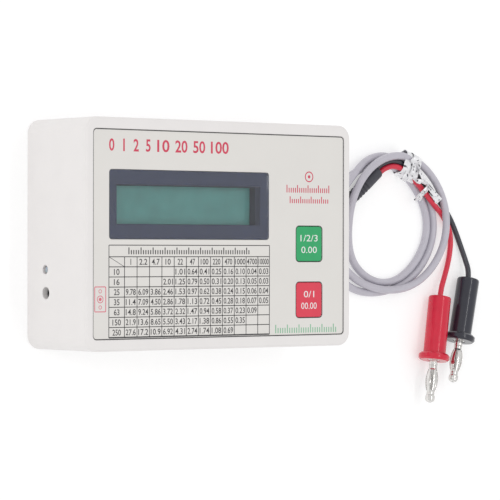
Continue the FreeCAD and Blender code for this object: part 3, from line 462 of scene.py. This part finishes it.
# %% A cord from its route
def nurbs_cord(name, points, diameter, body, slot):
    """An open NURBS line of order three through the first and last point, thick by its bevel."""
    curve = bpy.data.curves.new(name, "CURVE")
    curve.dimensions = "3D"
    line = curve.splines.new("NURBS")
    line.points.add(len(points) - 1)
    flat = np.column_stack([points, np.ones(len(points))]).ravel()
    line.points.foreach_set("co", flat)
    line.order_u = 3
    line.use_endpoint_u = True
    line.resolution_u = 8
    curve.bevel_depth = diameter / 2
    curve.bevel_resolution = 5
    curve.use_fill_caps = True
    curve.materials.append(FINISHES[slot])
    thing = bpy.data.objects.new(name, curve)
    bpy.context.scene.collection.objects.link(thing)
    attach(thing, body)
    return thing


def smooth_between(values, at):
    """A smooth line through values at whole steps: each stretch leaves and arrives with the slope between
    the two neighbours, the Catmull-Rom rule."""
    values = np.asarray(values, float)
    padded = np.concatenate([[2 * values[0] - values[1]], values, [2 * values[-1] - values[-2]]])
    step = np.clip(np.floor(at).astype(int), 0, len(values) - 2)
    t = at - step
    before, start, end, after = (padded[step + k] for k in range(4))
    return start + 0.5 * t * (end - before + t * (2 * before - 5 * start + 4 * end - after
                                                  + t * (3 * (start - end) + after - before)))


# %% The three loose turns
cord_diameter = 3.0 * mm
lead_in = np.array([[66.2, 12.0, 8.0], [71.6, 12.0, 8.0], [78.2, 13.2, 6.6], [83.6, 18.4, 5.2]]) * mm
coil_middle = np.array([108.0, 4.5, 0.0]) * mm
turn_reach = [27.2, 27.5, 25.2, 26.2, 25.4, 26.3, 31.4, 31.5,
              26.2, 24.4, 21.9, 22.5, 21.9, 23.0, 22.1, 20.9,
              23.6, 27.3, 30.0, 31.0, 27.9, 25.8, 27.0, 28.6]
turn_rise = [4.6, 1.6] + 13 * [1.5] + [4.2, 6.2, 6.0, 4.2, 4.1, 4.3, 4.5, 2.0, 2.5]
steps_per_value = 3
steps_per_turn = 8 * steps_per_value
first_clock = -math.pi / 4
coil_points = []
for step in range(steps_per_value * (len(turn_reach) - 1) + 1):
    clock = 2 * math.pi * step / steps_per_turn + first_clock
    at = np.array(step / steps_per_value)
    reach = smooth_between(turn_reach, at) * mm
    rise = smooth_between(turn_rise, at) * mm
    coil_points.append(coil_middle + [reach * math.sin(clock), reach * math.cos(clock), rise])

boot_turn = math.radians(39.4)
boot_way = np.array([math.cos(boot_turn), math.sin(boot_turn), 0.0])
boot_tail = np.array([82.34, 8.61, 2.7]) * mm
boot_length = 27.0 * mm
boot_end = boot_tail + boot_way * boot_length
into_boot = [boot_tail + boot_way * depth * mm for depth in (-1.8, 5.0, 9.0)]
cord_route = np.concatenate([lead_in, coil_points[1:], into_boot])
grey_cord = nurbs_cord("grey_cord", cord_route, cord_diameter, "case", "cord_grey")
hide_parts("cord_lead_in", "cord_coil")


def curve_line(thing):
    """The middle line of a cord, as its own spline gives it with no thickness."""
    bare = thing.copy()
    bare.data = thing.data.copy()
    bare.data.bevel_depth = 0.0
    mesh = bpy.data.meshes.new_from_object(bare)
    line = np.empty(len(mesh.vertices) * 3)
    mesh.vertices.foreach_get("co", line)
    bpy.data.objects.remove(bare)
    return line.reshape(-1, 3)


def line_length(line):
    """The sum of the steps along a line."""
    return np.linalg.norm(np.diff(line, axis=0), axis=1).sum()


grey_length = line_length(curve_line(grey_cord))
print("grey cord", round(grey_length / mm), "mm long in", len(cord_route), "points")

# %% [markdown]
# ## The two leads
# From the boot a red and a black lead run side by side under the last turn and curve down to the plugs. They
# are single-core and limp. Their points follow the design's tubes, raised where they lie on the turns, and
# each lead starts inside the boot and ends inside its plug, so no cut end shows.

# %% The two leads
lead_diameter = 2.2 * mm
mouth_rise = 4.46
flange_step, flange_reach = 1.7, 23.2
plug_pitch = math.atan(flange_step / flange_reach)
lead_side = np.array([boot_way[1], -boot_way[0], 0.0])
LEADS = {
    "red": {"side": 1.15, "mouth": (135.0, -24.0, mouth_rise), "yaw": 11.3,
            "run": [(111, 28.0, 4.1), (115.8, 26.5, 4.1), (119.7, 23.8, 4.1), (123.5, 20.7, 4.1),
                    (127.9, 16.9, 3.9), (132.2, 12.6, 4.0), (138.9, 8.6, 1.6), (142.7, 3.9, 1.15),
                    (143.9, -1.2, 1.1), (143.2, -6.9, 1.2), (141.2, -12, 1.9), (138.3, -16.9, 3.1)]},
    "black": {"side": -1.15, "mouth": (150.5, -17.0, mouth_rise), "yaw": 15.5,
              "run": [(110, 30.2, 4.1), (115.0, 29.1, 4.1), (119.5, 26.5, 4.1), (124, 23.4, 4.1),
                      (128.6, 20.1, 4.0), (133.6, 16, 3.3), (139.4, 11.9, 1.5), (143.5, 7.3, 1.15),
                      (146.4, 2.2, 1.1), (148.8, -3.2, 1.3), (150.6, -8.8, 2.2)]},
}
for colour, lead in LEADS.items():
    yaw = math.radians(lead["yaw"])
    flat_way = math.cos(plug_pitch)
    lead["way"] = np.array([-math.sin(yaw) * flat_way, -math.cos(yaw) * flat_way, math.sin(plug_pitch)])
    lead["mouth"] = np.array(lead["mouth"]) * mm
    start = boot_end + lead_side * lead["side"] * mm
    lead_route = np.concatenate([
        [start - boot_way * 3.0 * mm, start, start + boot_way * 3.4 * mm + UP * 0.9 * mm],
        np.array(lead["run"]) * mm,
        [lead["mouth"] - lead["way"] * 2.5 * mm, lead["mouth"] + lead["way"] * 3.0 * mm]])
    lead["cord"] = nurbs_cord(colour + "_lead_cord", lead_route, lead_diameter, "case", "lead_" + colour)
    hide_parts(colour + "_lead")
    lead["length"] = line_length(curve_line(lead["cord"]))
    print(colour, "lead", round(lead["length"] / mm, 1), "mm long")

# %% [markdown]
# ## The boot
# A moulded rubber boot joins the grey cord to the two leads. Its tail tapers towards the cord, so the cord
# can't bend sharply where it enters, and slanting ribs round that part make it grip. The part towards the
# leads is smooth and ends in a small rounded edge. The shape is a radius that depends on the distance along
# the boot and, for the slant, on the angle round it.


# %% The boot
tail_radius, mouth_gain, taper_share = 2.2, 0.5, 0.65
rib_pitch = 1.75 * mm
rib_slant = 0.9
rib_depth = 0.5 * mm
ribs_start, ribs_end = 1.0 * mm, 19.0 * mm
boot_edge = 0.8 * mm


def boot_radius(distance, angle):
    """A taper that grows over the first part of the length; ribs cut by the square of one plus a cosine,
    whose phase moves with the cosine of the angle, so that they slant; a quarter circle at each end."""
    along = distance / boot_length
    taper = (tail_radius + mouth_gain * np.minimum(along / taper_share, 1.0)) * mm
    phase = 2 * np.pi * distance / rib_pitch + rib_slant * np.cos(angle)
    groove = 0.5 * (1 + np.cos(phase)) ** 2 / 2
    fade_out = np.clip((ribs_end - distance) / (0.8 * mm), 0, 1)
    fade_in = np.clip((distance - ribs_start) / (0.5 * mm), 0, 1)
    end_gap = np.minimum(distance, boot_length - distance)
    rounding = boot_edge - np.sqrt(np.maximum(boot_edge**2 - np.maximum(boot_edge - end_gap, 0) ** 2, 0))
    return taper - rib_depth * groove * fade_in * fade_out - rounding


boot_distances = np.unique(np.concatenate([
    np.linspace(0, 1, 8) * mm, np.linspace(1, 19.5, 170) * mm,
    np.linspace(19.6, 26, 10) * mm, boot_length - (1 - np.sin(np.linspace(0, np.pi / 2, 8))) * boot_edge]))
boot_angles = np.linspace(0, 2 * np.pi, 56, endpoint=False)
level, above = across(boot_way)
circle = np.cos(boot_angles)[:, None] * level + np.sin(boot_angles)[:, None] * above
radii = boot_radius(boot_distances[:, None], boot_angles[None, :])
boot_rings = boot_tail + boot_distances[:, None, None] * boot_way + radii[..., None] * circle
boot_mesh = mesh_from("cord_boot", *capped(boot_rings, boot_tail, boot_end), sharp_above=60)
boot = piece("cord_boot", boot_mesh, "case", FINISHES["boot_rubber"])
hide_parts("cable_boot")
print("boot", round(boot_length / mm), "mm long,", len(boot_mesh.polygons), "faces")

# %% [markdown]
# ## The foil tie
# A strip of thin metal foil holds the turns together. It goes twice round them, leaves them as two twisted
# stems that meet, and ends in four ragged tails. Cloth simulation could crumple it, but foil creases into
# flat facets with sharp folds, and those are easy to give directly: each crease is the absolute value of a
# sine across some direction of the strip, and a few of them added up look like a strip that was pressed flat
# many times.

# %% A strip of crumpled foil
foil_thick = 0.1 * mm
foil_dice = np.random.default_rng(7)
fold_shade_shares = []


def smooth_path(points, count, closed=False):
    """Count points on a smooth line through the given points."""
    points = np.asarray(points, float)
    if closed:
        points = np.concatenate([points[-1:], points, points[:2]])
        at = np.linspace(1, len(points) - 2, count)
    else:
        at = np.linspace(0, len(points) - 1, count)
    return np.stack([smooth_between(points[:, k], at) for k in range(points.shape[1])], axis=1)


def creases(along, across_strip, depth, size, number=7):
    """The sum of folds: the absolute sine of a random direction over the strip, less its mean."""
    total = np.zeros(np.broadcast(along, across_strip).shape)
    for turn, phase, width in zip(foil_dice.uniform(0, np.pi, number), foil_dice.uniform(0, 6.28, number),
                                  foil_dice.uniform(0.6, 1.6, number)):
        wave = (along * np.cos(turn) + across_strip * np.sin(turn)) * np.pi / (size * width) + phase
        total = total + np.abs(np.sin(wave)) - 0.64
    return total * depth / math.sqrt(number)


def strip(path, side, out, width, rows_across=26, depth=0.17 * mm, size=2.2 * mm):
    """A surface carried along path: each row runs across by width along side, and creases push it along
    out. path, side, out and width each have one row per step. How deep each point lies in a crease's valley
    is kept as a share, which darkens the colour there: painted shade."""
    v = np.linspace(-0.5, 0.5, rows_across)
    run = np.concatenate([[0], np.cumsum(np.linalg.norm(np.diff(path, axis=0), axis=1))])
    reach = width[:, None] * v
    push = creases(run[:, None], reach, depth, size)
    ragged = 1 + 0.05 * np.sin(run / (0.9 * mm))[:, None] * np.abs(v) * 2
    points = path[:, None] + side[:, None] * (reach * ragged)[..., None] + out[:, None] * push[..., None]
    # Painted shade: a point deep in a crease's valley gets a share near one, and the finish darkens it.
    fold_shade_shares.append(np.clip((-push / depth - 0.36) / 0.2, 0, 1).ravel())
    return points.reshape(-1, 3), grid_quads(len(path), rows_across), NO_TRIANGLES


# %% Two wraps, two stems and four tails
tie_clock = math.radians(25.0)
tie_out = np.array([math.sin(tie_clock), math.cos(tie_clock), 0.0])
tie_along = np.array([math.cos(tie_clock), -math.sin(tie_clock), 0.0])
tie_middle = np.array([108.0, 4.75, 0.0]) * mm
bundle = np.array([(21.3, 0.25), (26, 0.12), (28.4, 0.3), (29.3, 2.4), (30.1, 4.8), (28.7, 6.4),
                   (26.2, 6.0), (23.3, 5.6), (21.4, 4.2), (21.0, 2.0)]) * mm


def wrap(lift, shifts, widths):
    """One turn of the strip round the bundle's outline, lift outside it, shifted along the bundle and as
    wide as given at the outline's points."""
    outline = smooth_path(np.column_stack([bundle, shifts, widths]), 150, closed=True)
    centre = bundle.mean(axis=0)
    away = outline[:, :2] - centre
    away /= np.linalg.norm(away, axis=1)[:, None]
    ring = outline[:, :2] + away * lift
    ring[:, 1] = np.maximum(ring[:, 1], 0.12 * mm)
    path = tie_middle + ring[:, :1] * tie_out + outline[:, 2:3] * tie_along + ring[:, 1:2] * UP
    out = away[:, :1] * tie_out + away[:, 1:2] * UP
    return strip(path, np.broadcast_to(tie_along, path.shape), out, outline[:, 3])


def twisted(points, widths, twist, count=90, depth=0.10 * mm):
    """A strip along a smooth path that turns about it by twist half turns from one end to the other."""
    line = smooth_path(np.column_stack([np.asarray(points, float), widths]) * mm, count)
    path = line[:, :3]
    way = np.gradient(path, axis=0)
    way /= np.linalg.norm(way, axis=1)[:, None]
    level = np.cross(UP, way)
    level /= np.linalg.norm(level, axis=1)[:, None]
    above = np.cross(way, level)
    angle = np.linspace(twist[0], twist[1], count)[:, None] * np.pi
    side = level * np.cos(angle) + above * np.sin(angle)
    out = above * np.cos(angle) - level * np.sin(angle)
    return strip(path, side, out, line[:, 3], 18, depth, 1.5 * mm)


wide = np.array([7.0, 7.6, 7.8, 7.8, 7.8, 7.6, 7.2, 7.0, 7.0, 7.0])
slant = np.array([1.0, 0.0, 0.0, 0.0, 0.0, 0.0, 0.3, 0.6, 1.0, 1.0])
foil_parts = [
    wrap(0.15 * mm, (slant - 1.2) * mm, wide * mm),
    wrap(0.6 * mm, (slant * 2.4 + 0.6) * mm, wide * 0.6 * mm),
    twisted([(118.0, 31.2, 7.3), (119.4, 29.0, 7.4), (121.3, 26.4, 7.2), (123.3, 23.6, 7.0),
             (126.6, 20.2, 6.4)],
            [3.2, 3.0, 2.2, 1.7, 1.4], (0.0, 1.4)),
    twisted([(115.2, 24.6, 5.0), (118.0, 22.9, 5.9), (121.0, 21.9, 6.5), (124.0, 21.6, 6.6),
             (126.9, 19.9, 6.3)],
            [3.4, 2.8, 2.2, 1.6, 1.4], (0.1, 1.6)),
    twisted([(126.2, 20.6, 6.4), (128.0, 18.6, 6.6), (130.6, 16.4, 6.1), (133.9, 13.9, 5.0)],
            [1.2, 1.7, 2.7, 3.8], (0.9, 1.12), 60),
    twisted([(127.0, 20.2, 6.4), (125.4, 18.6, 6.7), (123.2, 16.6, 6.2), (120.8, 14.2, 5.2)],
            [1.2, 1.7, 2.0, 1.5], (0.0, 0.35), 60),
    twisted([(126.4, 19.6, 6.6), (125.6, 17.9, 6.9), (124.3, 16.4, 6.5), (122.8, 14.0, 5.6)],
            [1.0, 1.3, 1.2, 0.7], (0.5, 0.9), 60),
    twisted([(127.2, 19.8, 6.8), (126.0, 18.9, 7.2), (124.2, 17.4, 6.9), (121.6, 16.0, 5.9)],
            [0.9, 1.1, 1.0, 0.6], (0.2, 0.8), 60),
]
foil_mesh = mesh_from("foil_tie", *joined(foil_parts), sharp_above=24)
# Painted shade: each point's share of darkening in the folds, read by the finish.
fold_shade = foil_mesh.attributes.new("fold_shade", "FLOAT", "POINT")
fold_shade.data.foreach_set("value", np.concatenate(fold_shade_shares))
foil_tie = piece("foil_tie", foil_mesh, "case", FINISHES["tie_foil"])
thickness = foil_tie.modifiers.new("thickness", "SOLIDIFY")
thickness.thickness = foil_thick
thickness.offset = 0.0
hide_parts("coil_tie")
print("tie of", len(foil_parts), "strips,", len(foil_mesh.polygons), "faces")

# %% [markdown]
# ## Print on the face
# The face carries a table of readings, rows of marks and a scale. Print could be painted into the film's
# finish, but a thin raised layer keeps its edges sharp at any distance and stays a shape of its own when the
# model leaves Blender. The marks here are plain: numbers, ruled lines and ticks. Digits come from the
# built-in font, made into a mesh once for each different number and then placed as whole arrays.

# %% Digits, bars and rings of ink
ink_thick = 0.03 * mm
plain_width = 0.8
number_shapes = {}


def number_shape(text, weight):
    """Points from 0 to 1 in height, with the same scale in width, and triangles of a number; weight makes
    its strokes thicker."""
    if (text, weight) not in number_shapes:
        curve = bpy.data.curves.new("number", "FONT")
        curve.body = text
        curve.resolution_u = 3
        curve.extrude = 0.5
        curve.offset = weight
        holder = bpy.data.objects.new("number", curve)
        mesh = bpy.data.meshes.new_from_object(holder)
        mesh.calc_loop_triangles()
        points = np.empty(len(mesh.vertices) * 3)
        mesh.vertices.foreach_get("co", points)
        corners = np.empty(len(mesh.loop_triangles) * 3, int)
        mesh.loop_triangles.foreach_get("vertices", corners)
        bpy.data.objects.remove(holder)
        points = points.reshape(-1, 3)
        low, high = points.min(axis=0), points.max(axis=0)
        points[:, 0] -= (low[0] + high[0]) / 2
        points[:, 1] -= low[1]
        points[:, :2] /= high[1] - low[1]
        number_shapes[text, weight] = (points, corners.reshape(-1, 3))
    return number_shapes[text, weight]


def number(text, x, y, height, width=None, surface=None, weight=0.012):
    """A number whose middle is at x and whose foot is at y, all in mm; width, if given, fits it, and else
    it is plain_width times as wide as the font has it."""
    shape, corners = number_shape(text, weight)
    natural = np.ptp(shape[:, 0]) * height
    across_scale = height * (plain_width if width is None else width / natural)
    top = face_z if surface is None else surface
    points = np.column_stack([(x + shape[:, 0] * across_scale) * mm, (y + shape[:, 1] * height) * mm,
                              top + shape[:, 2] * ink_thick])
    return points, NO_QUADS, corners


BOX_QUADS = np.array([(0, 3, 2, 1), (4, 5, 6, 7), (0, 1, 5, 4), (1, 2, 6, 5), (2, 3, 7, 6), (3, 0, 4, 7)])


def bars(starts, ends, width):
    """Thin flat bars from starts to ends, in mm: the four corners are each end plus and minus half the
    width square to the bar, at the foot and at the top of the ink."""
    starts, ends = np.atleast_2d(starts).astype(float), np.atleast_2d(ends).astype(float)
    way = ends - starts
    square = np.column_stack([-way[:, 1], way[:, 0]]) / np.linalg.norm(way, axis=1)[:, None]
    half = square * np.reshape(width, (-1, 1)) / 2
    flat = np.stack([starts - half, ends - half, ends + half, starts + half], axis=1) * mm
    low = np.dstack([flat, np.full(flat.shape[:2], face_z - ink_thick / 2)])
    points = np.concatenate([low, low + [0, 0, ink_thick]], axis=1)
    quads = BOX_QUADS + 8 * np.arange(len(starts))[:, None, None]
    return points.reshape(-1, 3), quads.reshape(-1, 4), NO_TRIANGLES


def rounded_loop(half_width, half_height, radius, steps=8):
    """Points round a rectangle with round corners: each corner's centre plus the radius at four quarter
    turns of angles."""
    angle = np.linspace(0, np.pi / 2, steps) + (np.pi / 2) * np.arange(4)[:, None]
    centre_x = np.array([1, -1, -1, 1])[:, None] * (half_width - radius)
    centre_y = np.array([1, 1, -1, -1])[:, None] * (half_height - radius)
    x, y = centre_x + radius * np.cos(angle), centre_y + radius * np.sin(angle)
    return np.column_stack([x.ravel(), y.ravel()])


def ring(x, y, half_width, half_height, radius, width, low=None, high=None, lean=0.0):
    """A frame with round corners: the outer loop, and the loop width mm inside it, at the foot and at the
    top, closed into a tube. A width of two numbers gives the sides and the ends their own, and lean
    moves the inner loop sideways."""
    low = face_z - ink_thick / 2 if low is None else low
    high = face_z + ink_thick / 2 if high is None else high
    side, end = np.broadcast_to(width, 2)
    outer = rounded_loop(half_width, half_height, radius) + [x, y]
    inner = rounded_loop(half_width - side, half_height - end, max(radius - side, 0.05)) + [x + lean, y]
    loops = [np.column_stack([loop * mm, np.full(len(loop), z)])
             for loop, z in ((outer, low), (outer, high), (inner, high), (inner, low))]
    return np.concatenate(loops), grid_quads(4, len(outer), True, True)[:, ::-1], NO_TRIANGLES


def disc(x, y, radius):
    """A flat round dot."""
    foot = np.array([x * mm, y * mm, face_z - ink_thick / 2])
    return turned([(0, radius * mm), (ink_thick, radius * mm)], foot, UP, 24)


def ticks(x0, x1, y, height, step, long_every=5):
    """A ruler's ticks from x0 to x1: every long_every-th is height tall, the others 0.62 of it."""
    x = np.arange(x0, x1 + step / 2, step)
    tall = np.where(np.arange(len(x)) % long_every == 0, height, height * 0.62)
    return bars(np.column_stack([x, np.full(len(x), y)]), np.column_stack([x, y + tall]), step * 0.42)


def ink(name, parts, colour, body="case"):
    """One piece of print in one colour."""
    return piece(name, mesh_from(name, *joined(parts)), body, colour)


INK_DARK = finish("ink_dark", (0.055, 0.053, 0.056), 0.5, 0.1, 3.0, 0.2, 0.001, edge=0.01)
INK_RED = finish("ink_red", (0.62, 0.055, 0.105), 0.45, 0.05, 3.0, 0.2, 0.001, edge=0.01)
INK_GREEN = finish("ink_green", (0.24, 0.50, 0.32), 0.45, 0.05, 3.0, 0.2, 0.001, edge=0.01)
INK_WHITE = finish("ink_white", (0.82, 0.82, 0.81), 0.45, 0.03, 2.0, 0.2, 0.001, edge=0.01)
INK_PINK = finish("ink_pink", (0.70, 0.15, 0.21), 0.45, 0.05, 3.0, 0.2, 0.001, edge=0.01)
print("an ink layer is", round(ink_thick / mm, 3), "mm thick")

# %% [markdown]
# ## Window print and gasket
# A dark border is printed on the back of the clear window, and between it and the display sits a black foam
# gasket that keeps dust out and hides the pale wall of the case. Its right side is wide: part of it is the
# dark inner wall, and part is painted shade, a dark band where the window's edge throws its shadow on the
# display.
# Both are frames with round corners. The border is a hair below the clear sheet, because two faces in one
# place flicker.

# %% Window border and gasket
window_middle = (lens_low + lens_high)[:2] / 2 / mm
lens_half = (lens_high - lens_low)[:2] / 2 / mm
mask_low, mask_high = box_of("window_mask")
glass_high = box_of("lcd_glass")[1]
hair = 0.05 * mm
border_side, border_end, border_corner = 3.55, 5.15, 1.2
border = ring(*window_middle, *lens_half, border_corner, (border_side, border_end),
              mask_low[2], mask_high[2] - hair)
window_border = piece("window_print", mesh_from("window_print", *border), "case",
                      FINISHES["window_border"])
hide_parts("window_mask")
GASKET_AND_SHADE_FOAM = finish("gasket_foam_and_painted_shade", (0.009, 0.012, 0.034), 0.8, 0.15, 1.0, 0.3, 0.02)
# Painted shade: the inner loop leans left, so the right side is a wide dark band over the shaded display
# edge.
gasket_and_shade_ring = ring(window_middle[0], window_middle[1] - 0.1, 32.1, 7.1, 0.3, (1.2, 0.35),
                   glass_high[2] + hair, mask_low[2] - hair, -0.85)
piece("display_gasket_and_shade", mesh_from("display_gasket_and_shade", *gasket_and_shade_ring), "case", GASKET_AND_SHADE_FOAM)
print("window border and gasket,", round((mask_low[2] - glass_high[2]) / mm, 1), "mm of depth between")

# %% [markdown]
# ## The table of readings
# Each column is a size and each row a voltage; the cell is the reading to expect. The numbers follow one
# rule, a power of the voltage over a power of the size, so no list has to be typed in. Some corner cells stay
# blank, as tables of this kind leave out sizes that nobody makes.

# %% The table
table_left, table_right, first_column = -50.06, 21.61, 6.68
table_top_y, title_height, row_height = -3.8, 4.07, 3.53
heads = ["1", "2.2", "4.7", "10", "22", "47", "100", "220", "470", "1000", "4700", "10000"]
volts = ["10", "16", "25", "35", "63", "150", "250"]
blank_first = [4, 3, 0, 0, 0, 0, 0]
blank_last = [0, 0, 0, 0, 1, 2, 3]
column_width = (table_right - table_left - first_column) / len(heads)
column_edges = table_left + first_column + column_width * np.arange(len(heads) + 1)
row_edges = table_top_y - title_height - row_height * np.arange(len(volts) + 2)
table_foot = row_edges[-1]


def reading(size, volt):
    """Eight times the voltage over sixteen to the power 0.45, over the size to the power 0.6, in four
    characters."""
    value = 8 * (float(volt) / 16) ** 0.45 / float(size) ** 0.6
    return f"{value:.1f}" if value >= 9.995 else f"{value:.2f}"


line_width = 0.3
level_y = np.concatenate([[table_top_y], row_edges])
upright_x = np.concatenate([[table_left], column_edges])
upright_top = np.where((upright_x == table_left) | (upright_x == column_edges[-1]), table_top_y, row_edges[0])
table_parts = [
    bars(np.column_stack([np.full(len(level_y), table_left), level_y]),
         np.column_stack([np.full(len(level_y), table_right), level_y]),
         np.where(level_y == table_foot, 0.5, line_width)),
    bars(np.column_stack([upright_x, upright_top]),
         np.column_stack([upright_x, np.full(len(upright_x), table_foot)]), line_width),
    bars((table_left, row_edges[0]), (table_left + first_column, row_edges[1]), 0.18),
    ticks(-41.5, 12.0, table_top_y - 3.2, 2.4, 1.05),
]
digit_height, digit_foot = 2.15, 0.68
for column, head in enumerate(heads):
    wide_number = 1.15 * len(head) if len(head) < 4 else 4.7
    table_parts.append(number(head, column_edges[column] + column_width / 2, row_edges[1] + digit_foot,
                              digit_height, wide_number if len(head) > 1 else None))
for row, volt in enumerate(volts):
    foot = row_edges[row + 2] + digit_foot
    table_parts.append(number(volt, table_left + first_column / 2, foot, digit_height, 1.2 * len(volt)))
    for column in range(blank_first[row], len(heads) - blank_last[row]):
        table_parts.append(number(reading(heads[column], volt), column_edges[column] + column_width / 2,
                                  foot, digit_height, 4.3))
readings_table = ink("readings_table", table_parts, INK_DARK)
print("table of", len(volts), "by", len(heads), "cells,", len(readings_table.data.polygons), "faces")

# %% [markdown]
# ## Scale, marks and outlines
# A row of red numbers runs along the top like a dial's scale. Two red tick rows stand under a small ring by
# the window, a green one under the keys, and a panel of rings at the left edge. A fine dark line follows the
# film's edge and each key's hole, where the film was cut and its edge shows.

# %% The other print
scale_numbers = ["0", "1", "2", "5", "10", "20", "50", "100"]
scale_widths = np.array([2.7 * len(text) for text in scale_numbers])
scale_gap = (53.0 - scale_widths.sum()) / (len(scale_numbers) - 1)
scale_x = -50.3 + np.cumsum(scale_widths + scale_gap) - scale_gap - scale_widths / 2
ink("scale_print", [number(text, x, 29.1, 4.4, width if len(text) > 1 else None, weight=0.018)
                    for text, x, width in zip(scale_numbers, scale_x, scale_widths)], INK_RED)
ink("red_marks", [ring(40.3, 21.6, 2.0, 2.0, 2.0, 0.4), disc(40.3, 21.6, 0.6),
                  ticks(29.8, 50.0, 15.7, 2.8, 1.0), ticks(31.3, 49.3, 11.8, 2.5, 1.0)], INK_RED)
ink("green_marks", [ticks(24.6, 53.3, -35.9, 3.1, 1.1)], INK_GREEN)
panel_x, panel_y = -53.75, -22.7
ink("side_panel", [ring(panel_x, panel_y, 2.5, 4.5, 0.5, 0.32),
                   ring(panel_x, panel_y, 1.35, 1.35, 1.35, 0.28),
                   disc(panel_x, panel_y, 0.6), ring(panel_x, panel_y + 2.8, 0.7, 0.7, 0.7, 0.22),
                   ring(panel_x, panel_y - 2.8, 0.7, 0.7, 0.7, 0.22)], INK_PINK)
label_half = (label_high - label_low)[:2] / 2 / mm
outlines = [ring(0, 0, label_half[0] + 0.02, label_half[1] + 0.02, 1.5, 0.3)]
key_half = np.array([12.1, 12.8]) / 2
key_gap = 0.36
for key in ("green_key", "red_key"):
    key_low, key_high = box_of(key)
    outlines.append(ring(*(key_low + key_high)[:2] / 2 / mm, *key_half + key_gap, 1.6, 0.24))
ink("edge_lines", outlines, INK_DARK)
print("scale, marks and", len(outlines), "outlines printed")

# %% [markdown]
# ## Print on the keys
# Each key has two rows of white figures. They are pieces of their own that ride with their key, so they sink
# with it when it is pressed.

# %% The keys' figures
KEY_PRINT = {"green_key": ("key_green", "1/2/3", "0.00"), "red_key": ("key_red", "0/1", "00.00")}
for key, (slot, upper, lower) in KEY_PRINT.items():
    key_low, key_high = box_of(key)
    x, y = (key_low + key_high)[:2] / 2 / mm
    top = key_high[2]
    ink(key + "_print", [number(upper, x, y + 0.9, 2.4, min(8.2, 1.65 * len(upper)), surface=top, weight=0.0),
                         number(lower, x, y - 3.4, 2.4, 7.4, surface=top, weight=0.0)], INK_WHITE, key)
print("figures on", len(KEY_PRINT), "keys")

# %% [markdown]
# ## What the cords are
# The grey cord leaves the rubber gland and ends in the boot; the two leads leave the boot and end in their
# plugs.

print("grey cord from gland to boot, two leads from boot to plugs")
